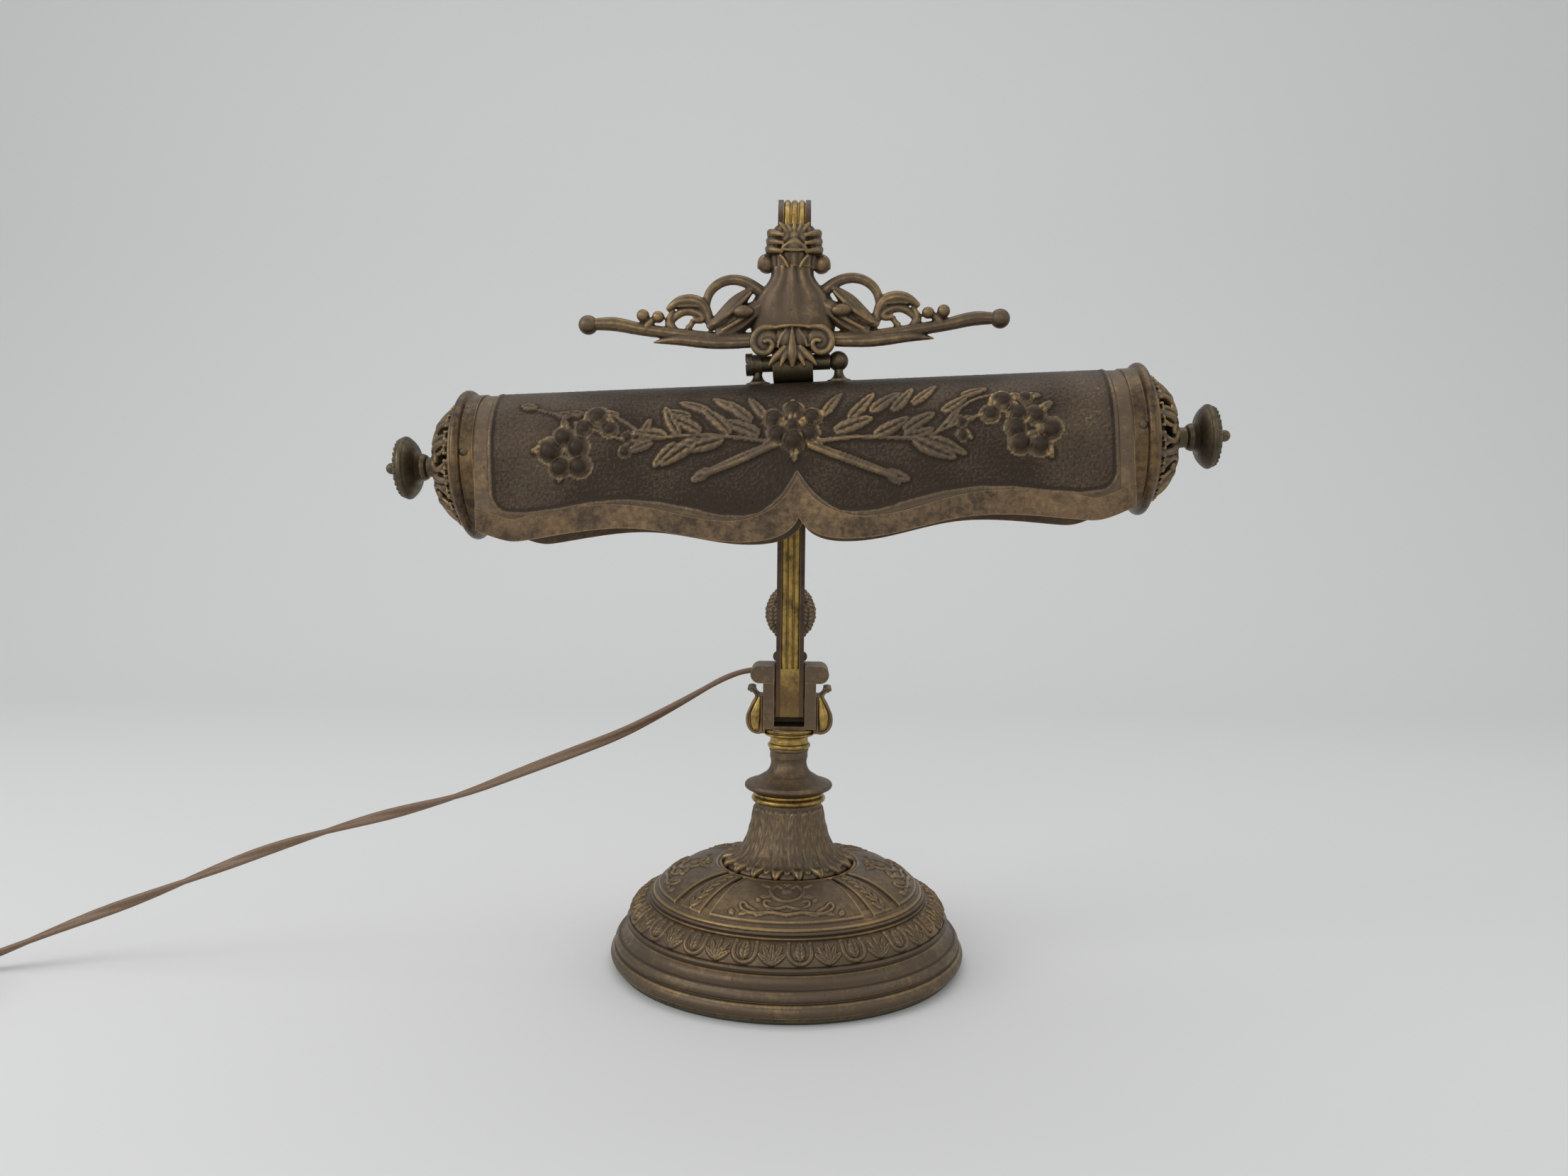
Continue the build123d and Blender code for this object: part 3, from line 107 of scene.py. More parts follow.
def finishMesh(name, data, material, merge=False, outwards=False):
    # Mesh data as a smooth object; merge closes seams and poles, outwards also caps open ends
    mesh = bmesh.new()
    mesh.from_mesh(data)
    if merge:
        bmesh.ops.remove_doubles(mesh, verts=mesh.verts, dist=0.000002)
    if outwards:
        bmesh.ops.holes_fill(mesh, edges=[edge for edge in mesh.edges if edge.is_boundary], sides=0)
        bmesh.ops.recalc_face_normals(mesh, faces=mesh.faces)
    mesh.to_mesh(data)
    mesh.free()
    data.polygons.foreach_set("use_smooth", [True] * len(data.polygons))
    data.materials.clear()
    data.materials.append(material)
    made = bpy.data.objects.new(name, data)
    bpy.context.scene.collection.objects.link(made)
    return made


studio = {
    "paper": "#d7d7d6",
    "sky": "#eef0f2",
    "skyStrength": 0.74,
    # Paper sweep in metres: half its width, front edge, wall, bend between floor and wall, upper edge
    "halfWidth": 3.2,
    "frontEdge": -2.6,
    "wall": 1.5,
    "bend": 0.7,
    "bendSteps": 12,
    "upperEdge": 3.4,
    # Soft boxes: place, aim and size in metres, then watts
    "boxes": {
        "overheadBox": ((0.0, 0.15, 1.5), (0, 0.1, 0.2), (1.6, 1.2), 5.6),
        "leftBox": ((-1.3, -0.7, 0.9), (0, 0, 0.2), (1.0, 1.0), 7.6),
        "rightBox": ((1.4, -0.6, 0.9), (0, 0, 0.2), (1.0, 1.0), 1.9),
        "frontBox": ((-0.2, -1.7, 0.8), (0, 0, 0.2), (1.2, 0.8), 3.8),
    },
}


def softLamp(name, place, aim, size, power):
    data = bpy.data.lights.new(name, "AREA")
    data.shape = "RECTANGLE"
    data.size, data.size_y = size
    data.energy = power
    lamp = bpy.data.objects.new(name, data)
    bpy.context.scene.collection.objects.link(lamp)
    way = (Vector(aim) - Vector(place)).normalized()
    lamp.matrix_world = Matrix.Translation(place) @ way.to_track_quat("-Z", "Y").to_matrix().to_4x4()


def setStudio():
    # Pale paper sweep: floor and wall in one bent sheet
    mesh = bmesh.new()
    reach, wall, bend = studio["halfWidth"], studio["wall"], studio["bend"]
    outline = [(studio["frontEdge"], 0), (wall - bend, 0)]
    for step in range(1, studio["bendSteps"] + 1):
        angle = math.pi / 2 * step / studio["bendSteps"]
        outline.append((wall - bend + bend * math.sin(angle), bend - bend * math.cos(angle)))
    line = [mesh.verts.new((-reach, y, z)) for y, z in outline + [(wall, studio["upperEdge"])]]
    edges = [mesh.edges.new(pair) for pair in zip(line, line[1:])]
    wide = bmesh.ops.extrude_edge_only(mesh, edges=edges)
    moved = [item for item in wide["geom"] if isinstance(item, bmesh.types.BMVert)]
    bmesh.ops.translate(mesh, verts=moved, vec=(2 * reach, 0, 0))
    bmesh.ops.recalc_face_normals(mesh, faces=mesh.faces)
    data = bpy.data.meshes.new("paperSweep")
    mesh.to_mesh(data)
    mesh.free()
    # Matte background paper: no gloss, one even tone
    paper, _, shader = newMaterial("mattePaper")
    shader.inputs["Base Color"].default_value = linear(studio["paper"])
    shader.inputs["Roughness"].default_value = 0.9
    shader.inputs["Specular IOR Level"].default_value = 0.1
    sweep = finishMesh("paperSweep", data, paper)
    world = bpy.data.worlds.new("studioWorld")
    world.use_nodes = True
    background = world.node_tree.nodes["Background"]
    background.inputs["Color"].default_value = linear(studio["sky"])
    background.inputs["Strength"].default_value = studio["skyStrength"]
    bpy.context.scene.world = world
    for name, (place, aim, size, power) in studio["boxes"].items():
        softLamp(name, place, aim, size, power)
    bpy.context.scene.view_settings.view_transform = "Standard"


setCamera()
setStudio()
print("camera and studio set")


# Materials

noisePlace = (0.21, 0.37, 0.53)  # off the origin, where noises line up into a seam
lacunarity = 2.17
patterns = {  # scale per metre, detail and roughness of the noises that all aged metals share
    "grain": (620.0, 4.0, 0.70),  # 1.6 mm, grain of the casting
    "fleck": (330.0, 6.0, 0.72),  # 3 mm, chips in the lacquer
    "green": (38.0, 5.0, 0.70),  # 26 mm, stains of verdigris
}
verdigris = "#4d5a45"
# Colours of the whole lacquer, of the bare metal and of the dirt, which on the shade's panel also paints shade; wear at
# which the metal shows, and how fast;
# roughness of both; size of the blotches in mm; share of verdigris
finishes = {
    # Gilt brass under brown lacquer and dirt: dull brown in the hollows, gold where hands rub it
    "patinatedBrass": {"brown": "#625445", "rub": "#957b52", "deep": "#29221c", "rubAt": 0.75, "rubGain": 1.0,
                       "rough": (0.50, 0.34), "blotch": 34.0, "verdigris": 0.10},
    # Worn gilding on turned rings and the reeded arm: mostly bright, dark in the corners
    "rubbedGilt": {"brown": "#5e4c30", "rub": "#ad9050", "deep": "#33291e", "rubAt": 0.54, "rubGain": 1.5,
                   "rough": (0.46, 0.30), "blotch": 9.0, "verdigris": 0.04},
    # Turned bronze that was never gilt: near black brown, satin
    "darkBronze": {"brown": "#474036", "rub": "#716248", "deep": "#1f1b18", "rubAt": 0.60, "rubGain": 1.0,
                   "rough": (0.50, 0.34), "blotch": 14.0, "verdigris": 0.02},
    # Plain turned collars, wiped clean more often than the relief: smoother and a little lighter
    "wipedBrass": {"brown": "#40362e", "rub": "#856b46", "deep": "#2a2320", "rubAt": 0.66, "rubGain": 1.0,
                   "rough": (0.38, 0.28), "blotch": 40.0, "verdigris": 0.06},
    # Rim band rubbed down to the copper-rich metal: warm, with brown flecks
    "wornCopperBand": {"brown": "#463b31", "rub": "#81694d", "deep": "#382c24", "rubAt": 0.60, "rubGain": 1.2,
                       "rough": (0.46, 0.30), "blotch": 30.0, "verdigris": 0.02},
}


def agedMetal(name, finish, flank=None, footTone=None):
    made, tree, shader = newMaterial(name)
    bare = addNode(tree, "ShaderNodeTexCoord").outputs["Object"]
    place = addNode(tree, "ShaderNodeMapping", {"Location": noisePlace}, {"Vector": bare}).outputs[0]
    noises = {}
    for key, (scale, detail, uneven) in {"blotch": (1000.0 / finish["blotch"], 6.0, 0.62), **patterns}.items():
        settings = {"Scale": scale, "Detail": detail, "Roughness": uneven, "Lacunarity": lacunarity}
        noises[key] = addNode(tree, "ShaderNodeTexNoise", settings, {"Vector": place}).outputs[0]
    wearAndPaintedLight = addNode(tree, "ShaderNodeAttribute", {"attribute_name": "wearAndPaintedLight"}).outputs["Fac"]
    # The edge mask compares the rounded normal with the true one
    rounded = addNode(tree, "ShaderNodeBevel", {"samples": 4, "Radius": 0.7 * mm})
    truth = addNode(tree, "ShaderNodeNewGeometry")
    same = addNode(tree, "ShaderNodeVectorMath", {"operation": "DOT_PRODUCT"},
                   {0: rounded.outputs[0], 1: truth.outputs["Normal"]})
    edge = addNode(tree, "ShaderNodeMapRange", {"From Min": 0.995, "From Max": 0.90, "To Max": 0.45},
                   {"Value": same.outputs["Value"]})
    # The metal shows where noise, wear (on the shade's panel with a painted highlight on its border bead) and edge
    # together pass the finish's mark
    total = noises["blotch"]
    for part in (noises["fleck"], wearAndPaintedLight, edge.outputs[0]):
        total = addNode(tree, "ShaderNodeMath", {"operation": "ADD"}, {0: total, 1: part}).outputs[0]
    mark = finish["rubAt"] + 0.22
    bared = addNode(tree, "ShaderNodeMapRange", {"From Min": mark, "From Max": mark + 0.55 / finish["rubGain"]},
                    {"Value": total}).outputs[0]
    # Dirt sits where the wear is negative, in the hollows of the relief; on the shade's panel painted shade sits there
    # too, on its lower front and in a line inside its border
    dirtAndShade = addNode(tree, "ShaderNodeMapRange", {"From Min": -0.05, "From Max": -0.45, "To Max": 0.85},
                   {"Value": wearAndPaintedLight}).outputs[0]
    stain = addNode(tree, "ShaderNodeMapRange", {"From Min": 0.60, "From Max": 0.78, "To Max": finish["verdigris"] * 4},
                    {"Value": noises["green"]}).outputs[0]
    colour = addNode(tree, "ShaderNodeMix", {"data_type": "RGBA", 6: linear(finish["brown"]), 7: linear(finish["rub"])},
                     {0: bared}).outputs[2]
    for mask, tone in ((dirtAndShade, finish["deep"]), (stain, verdigris)):
        colour = addNode(tree, "ShaderNodeMix", {"data_type": "RGBA", 7: linear(tone)}, {0: mask, 6: colour}).outputs[2]
    specks = addNode(tree, "ShaderNodeMapRange", {"From Min": 0.30, "From Max": 0.38, "To Min": 0.55, "To Max": 1.0},
                     {"Value": noises["grain"]})
    colour = addNode(tree, "ShaderNodeMix", {"data_type": "RGBA", "blend_type": "MULTIPLY", 0: 1.0},
                     {6: colour, 7: specks.outputs[0]}).outputs[2]
    if flank:
        # Past a distance from the middle plane the lacquer is whole, and towards the arm's foot the colour turns a
        # duller brown
        axes = addNode(tree, "ShaderNodeSeparateXYZ", links={0: bare})
        away = addNode(tree, "ShaderNodeMath", {"operation": "ABSOLUTE"}, {0: axes.outputs[0]})
        for (start, end, tone), source, most in ((flank, away.outputs[0], 0.9), (footTone, axes.outputs[2], 0.75)):
            mask = addNode(tree, "ShaderNodeMapRange", {"From Min": start * mm, "From Max": end * mm, "To Max": most},
                           {"Value": source})
            colour = addNode(tree, "ShaderNodeMix", {"data_type": "RGBA", 7: linear(tone)},
                             {0: mask.outputs[0], 6: colour}).outputs[2]
    tree.links.new(colour, shader.inputs["Base Color"])
    rough = addNode(tree, "ShaderNodeMapRange", {"To Min": finish["rough"][0], "To Max": finish["rough"][1]},
                    {"Value": bared})
    tree.links.new(rough.outputs[0], shader.inputs["Roughness"])
    shader.inputs["Metallic"].default_value = 0.86
    bump = addNode(tree, "ShaderNodeBump", {"Strength": 0.22, "Distance": 0.4 * mm}, {"Height": noises["grain"]})
    tree.links.new(bump.outputs[0], shader.inputs["Normal"])
    return made


patina, gilt, bronze, wiped, copperBand = (agedMetal(name, finish) for name, finish in finishes.items())
# The arm's gilt reeds, between whole lacquer on its flanks and a duller brown foot: mm from, mm to and colour
reeded = agedMetal("reededGilt", finishes["rubbedGilt"], flank=(4.5, 4.9, "#3d3034"), footTone=(152.0, 136.0, "#604a33"))


def plainMaterial(name, colour, rough, metallic=0.0, grain=0.0, scale=400.0):
    # One colour that the grain makes a little uneven; scale is per metre
    made, tree, shader = newMaterial(name)
    bare = addNode(tree, "ShaderNodeTexCoord").outputs["Object"]
    place = addNode(tree, "ShaderNodeMapping", {"Location": noisePlace}, {"Vector": bare}).outputs[0]
    spots = addNode(tree, "ShaderNodeTexNoise", {"Scale": scale, "Detail": 4.0}, {"Vector": place}).outputs[0]
    uneven = addNode(tree, "ShaderNodeMapRange",
                     {"From Min": 0.3, "From Max": 0.7, "To Min": 1.0 - grain, "To Max": 1.0 + grain}, {"Value": spots})
    base = addNode(tree, "ShaderNodeMix", {"data_type": "RGBA", "blend_type": "MULTIPLY", 0: 1.0, 6: linear(colour)},
                   {7: uneven.outputs[0]})
    tree.links.new(base.outputs[2], shader.inputs["Base Color"])
    bump = addNode(tree, "ShaderNodeBump", {"Strength": 0.15, "Distance": 0.3 * mm}, {"Height": spots})
    tree.links.new(bump.outputs[0], shader.inputs["Normal"])
    shader.inputs["Roughness"].default_value = rough
    shader.inputs["Metallic"].default_value = metallic
    return made


feltCloth = plainMaterial("greenFelt", "#3a4438", 0.95, grain=0.35, scale=1500.0)  # matted wool, no gloss
turnedSteel = plainMaterial("turnedSteel", "#8e8b86", 0.38, 1.0, 0.12, 300.0)  # bare machined steel
castIron = plainMaterial("castIron", "#3b3835", 0.75, 0.6, 0.3, 250.0)  # raw sand casting, dull
pressedFibre = plainMaterial("pressedFibre", "#5a4232", 0.8, grain=0.25, scale=800.0)  # red-brown board
blackPhenolic = plainMaterial("blackPhenolic", "#1d1a18", 0.35, grain=0.1)  # moulded, soft shine
drawnBrass = plainMaterial("drawnBrass", "#b39a5e", 0.32, 1.0, 0.1, 200.0)  # thin drawn shell, bright
brownPvc = plainMaterial("brownPvc", "#735b45", 0.42, grain=0.12, scale=600.0)  # extruded flex, low gloss
plugPvc = plainMaterial("mouldedPlugPvc", "#4a382a", 0.45, grain=0.08)  # moulded plug, smooth
frostedGlass, _, frostShader = newMaterial("frostedGlass")  # etched inside: milky and even
for key, value in {"Base Color": linear("#e9e7e0"), "Roughness": 0.32, "Subsurface Weight": 0.3,
                   "Subsurface Radius": (0.01, 0.01, 0.01)}.items():
    frostShader.inputs[key].default_value = value

nodeFinish = {
    feltCloth: ["felt_pad"],
    turnedSteel: ["plate_screws", "tie_rod", "rod_washer", "rod_nut", "pivot_pin", "finial_nut"],
    castIron: ["base_weight"],
    patina: ["base_shell", "leaf_cone", "vase_neck", "fork", "bracket", "palmette", "leaf_cup",
             "tip_balls", "shade_shell", "tail_stem", "rear_bud", "end_cap_left", "end_cap_right"],
    wiped: ["end_ring_left", "end_ring_right"],
    gilt: ["cone_ring", "neck_ring", "neck_sleeve"],
    reeded: ["arm"],
    bronze: ["bottom_plate", "finial_left", "finial_right", "hinge_knuckle", "hinge_posts", "hinge_screw",
             "hinge_spacers", "band_rivets"],
    copperBand: ["rim_band"],
    pressedFibre: ["friction_washers", "socket_insert"],
    blackPhenolic: ["switch_body", "cord_bushing"],
    drawnBrass: ["lamp_socket", "bulb_cap", "plug_blades"],
    frostedGlass: ["bulb_glass"],
    brownPvc: ["arm_lead"],
    plugPvc: ["plug_body", "plug_relief"],
}
for material, names in nodeFinish.items():
    for name in names:
        for place in nodes[name].material_slots:
            place.material = material
print("materials made")


# Shared helpers for bent sheets

def wrapGrid(name, countU, countV, place, material, closed=False, outwards=False, wearAndPaintedLight=None):
    # A flat grid is bent into shape: place gives mm for arrays u and v, each from 0 to 1
    mesh = bmesh.new()
    bmesh.ops.create_grid(mesh, x_segments=countU, y_segments=countV, size=0.5)
    data = bpy.data.meshes.new(name)
    mesh.to_mesh(data)
    mesh.free()
    flat = np.empty(len(data.vertices) * 3)
    data.vertices.foreach_get("co", flat)
    u, v = flat[0::3] + 0.5, flat[1::3] + 0.5
    data.vertices.foreach_set("co", (place(u, v) * mm).astype(np.float32).ravel())
    # Per point wear; on the shade's panel a painted highlight and painted shade are mixed into it
    if wearAndPaintedLight is not None:
        worn = data.attributes.new("wearAndPaintedLight", "FLOAT", "POINT")
        worn.data.foreach_set("value", wearAndPaintedLight(u, v).astype(np.float32))
    data.update()
    return finishMesh(name, data, material, merge=closed, outwards=outwards)


def crispness(field, u, v, reach):
    # How far each point stands above its surroundings on the grid: edges of the relief that a hand rubs
    order = np.lexsort((np.round(u, 6), np.round(v, 6)))
    rows = len(np.unique(np.round(v, 6)))
    sheet = field[order].reshape(rows, -1)
    soft = sheet.copy()
    for axis in (0, 1):
        soft = sum(np.roll(soft, shift, axis) for shift in range(-reach, reach + 1)) / (2 * reach + 1)
    out = np.empty_like(field)
    out[order] = (sheet - soft).ravel()
    return out


# Cord: flat two-wire flex, twisted on its way down, wound up on the table out of view

flex = {  # mm
    "width": 5.6,
    "thick": 2.8,
    "length": 1800.0,
    "coilRadius": 40.9,
    "coilPitch": 6.2,
    "coilLayer": 6.15,
    "turnsIn": 3.5,
    "turnsOut": 3.25,
    "tail": 30.0,
    "pointsPerTurn": 16,
    "spread": 1.010,  # the smooth line runs a little inside its points
    "fineness": 8,  # steps of the smooth line between two points
    "around": 20,
    "easing": 11,  # points over which a twist sets in
    "seam": 0.55,  # thickness between the two wires, as a share of theirs
}
cordRoute = [
    (-6.0, 15.2, 147.4), (-20.0, 15.2, 147.4), (-34.0, 14.2, 142.8), (-50.0, 12.7, 133.4), (-67.0, 11.2, 123.8),
    (-87.0, 8.8, 113.4), (-112.0, 5.9, 103.8), (-140.0, 3.2, 93.0), (-168.2, 0.6, 81.8), (-197.7, -2.0, 74.0),
    (-224.1, -4.5, 67.2), (-260.6, -8.7, 56.4), (-292.8, -12.5, 44.0), (-324.4, -16.7, 31.6), (-352.6, -23.3, 21.8),
    (-380.0, -31.8, 11.2), (-402.5, -39.6, 2.8), (-425.5, -46.8, 2.8),
]
# Along the cord in mm, and how many half turns it has twisted there
cordTwist = [(0.0, 0.1), (34.0, 0.0), (180.0, 1.0), (243.0, 2.0), (318.0, 3.0), (388.0, 4.0), (450.0, 4.5),
             (3000.0, 4.5)]


def coilPoints():
    # Spirals in on the table, climbs during half a turn and spirals out again on top
    entry, before = Vector(cordRoute[-1]), Vector(cordRoute[-2])
    heading = (entry - before).normalized()
    start = entry + heading * flex["width"]
    centre = start + Vector((-heading.y, heading.x, 0)) * flex["coilRadius"]
    startAngle = math.atan2(start.y - centre.y, start.x - centre.x)
    climb = 2 * math.pi * flex["turnsIn"]
    reverse = climb + math.pi / 2
    last = climb + math.pi + 2 * math.pi * flex["turnsOut"]
    inner = flex["coilRadius"] - flex["coilPitch"] * reverse / (2 * math.pi)
    steps = round(last / (2 * math.pi) * flex["pointsPerTurn"])
    points = []
    for step in range(1, steps + 1):
        angle = last * step / steps
        radius = (inner + flex["coilPitch"] * abs(angle - reverse) / (2 * math.pi)) * flex["spread"]
        climbed = min(max((angle - climb) / math.pi, 0.0), 1.0)
        height = cordRoute[-1][2] + flex["coilLayer"] * (1 - math.cos(math.pi * climbed)) / 2
        turned = startAngle + angle
        offset = Vector((math.cos(turned), math.sin(turned), 0)) * radius
        points.append(Vector((centre.x, centre.y, height)) + offset)
    way = Vector((-math.sin(startAngle + last), math.cos(startAngle + last), 0))
    return points + [points[-1] + way * flex["tail"] * 0.5, points[-1] + way * flex["tail"]]


def smoothLine(points):
    data = bpy.data.curves.new("cordLine", "CURVE")
    data.dimensions = "3D"
    data.resolution_u = flex["fineness"]
    spline = data.splines.new("NURBS")
    spline.points.add(len(points) - 1)
    for handle, point in zip(spline.points, points):
        handle.co = (point[0] * mm, point[1] * mm, point[2] * mm, 1.0)
    spline.order_u = 3
    spline.use_endpoint_u = True
    line = bpy.data.objects.new("cordLine", data)
    bpy.context.scene.collection.objects.link(line)
    bpy.context.view_layer.update()
    traced = bpy.data.meshes.new_from_object(line.evaluated_get(bpy.context.evaluated_depsgraph_get()))
    path = np.array([vertex.co[:] for vertex in traced.vertices])
    bpy.data.objects.remove(line)
    bpy.data.meshes.remove(traced)
    return path


def makeCord():
    path = smoothLine([Vector(point) for point in cordRoute] + coilPoints())
    steps = np.linalg.norm(np.diff(path, axis=0), axis=1)
    along = np.concatenate([[0.0], np.cumsum(steps)])
    ways = np.gradient(path, axis=0)
    ways /= np.linalg.norm(ways, axis=1)[:, None]
    sideways = np.cross((0.0, 0.0, 1.0), ways)
    sideways /= np.linalg.norm(sideways, axis=1)[:, None]
    upwards = np.cross(ways, sideways)
    # Half turns of twist, eased between the marks so that they flow
    turns = np.interp(along / mm, *zip(*cordTwist))
    ease = flex["easing"]
    turns = np.convolve(np.pad(turns, ease // 2, mode="edge"), np.ones(ease) / ease, mode="valid") * math.pi
    broad = sideways * np.cos(turns)[:, None] + upwards * np.sin(turns)[:, None]
    thin = np.cross(ways, broad)
    lobe = flex["thick"] / 2

    def place(u, v):
        # Two round wires side by side with a web between them
        row = np.clip(np.rint(u * (len(path) - 1)).astype(int), 0, len(path) - 1)
        angle = 2 * np.pi * v
        offset = 2 * lobe * np.cos(angle)
        rise = np.sqrt(np.maximum(lobe**2 - (np.abs(offset) - lobe) ** 2, 0.0))
        rise = np.maximum(rise, flex["seam"] * lobe * (np.abs(offset) < lobe)) * np.sign(np.round(np.sin(angle), 6))
        return path[row] / mm + broad[row] * offset[:, None] + thin[row] * rise[:, None]

    cord = wrapGrid("flexCord", len(path) - 1, flex["around"], place, brownPvc, closed=True, outwards=True)
    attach(cord, "foot")
    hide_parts("cord", "cord_coil")
    print("cord length", round(float(along[-1]), 4))


makeCord()
print("cord made")


# Relief work: height fields in mm that are laid on the lamp's surfaces

def berry(field, x, y, place, radius, rise):
    # A round lump with a narrow ditch round it
    away = np.hypot(x - place[0], y - place[1]) / radius
    lump = rise * np.sqrt(np.clip(1 - away**2, 0, 1))
    ditch = -0.35 * np.exp(-((away - 1.12) / 0.16) ** 2)
    field[:] = np.maximum(field, lump) + np.where(away > 0.97, ditch, 0) * (lump == 0)


def stem(field, x, y, points, thick, rise, taper=1.0):
    # A raised line through the points, rounded at its corners and thinner towards its end
    points = [np.array(point, float) for point in points]
    for turn in range(2):
        cut = [(a * 3 + b) / 4 for start, end in zip(points, points[1:]) for a, b in ((start, end), (end, start))]
        points = [points[0]] + cut[1:-1] + [points[-1]]
    spans = list(zip(points, points[1:]))
    for index, (start, end) in enumerate(spans):
        way = end - start
        along = np.clip(((x - start[0]) * way[0] + (y - start[1]) * way[1]) / (way @ way), 0, 1)
        away = np.hypot(x - start[0] - along * way[0], y - start[1] - along * way[1])
        left = 1 - (1 - taper) * (index + along) / len(spans)
        field[:] = np.maximum(field, rise * left * np.sqrt(np.clip(1 - (away / (thick * left)) ** 2, 0, 1)))


def leaf(field, x, y, foot, angle, length, width, rise, curl=0.0):
    # A pointed leaf with a middle vein and faint side veins; angle in degrees, curl bends its tip
    turn = math.radians(angle)
    along = ((x - foot[0]) * math.cos(turn) + (y - foot[1]) * math.sin(turn)) / length
    across = -(x - foot[0]) * math.sin(turn) + (y - foot[1]) * math.cos(turn) - curl * along**2
    inside = (along > 0) & (along < 1)
    half = width / 2 * np.sqrt(np.clip(np.sin(np.pi * np.clip(along, 0, 1) ** 0.72), 0, 1)) + 1e-6
    share = np.abs(across) / half
    blade = np.where(inside & (share < 1), rise * (1 - np.minimum(share, 1) ** 2.4) ** 0.6, 0)
    veins = 1 - 0.45 * np.exp(-((across / (0.10 * width)) ** 2))
    veins = veins - 0.13 * np.cos(2 * np.pi * (along * 5 - share * 0.8)) * (share > 0.15)
    field[:] = np.maximum(field, blade * veins)


def speckle(x, y, size, seed):
    # Hammered ground: soft random dents of the given size in mm
    dots = [noise.noise((a / size, b / size, seed)) for a, b in zip(x.ravel(), y.ravel())]
    return np.array(dots).reshape(x.shape)


# Shade: frame along its axis, then the embossed panel over front, top and back

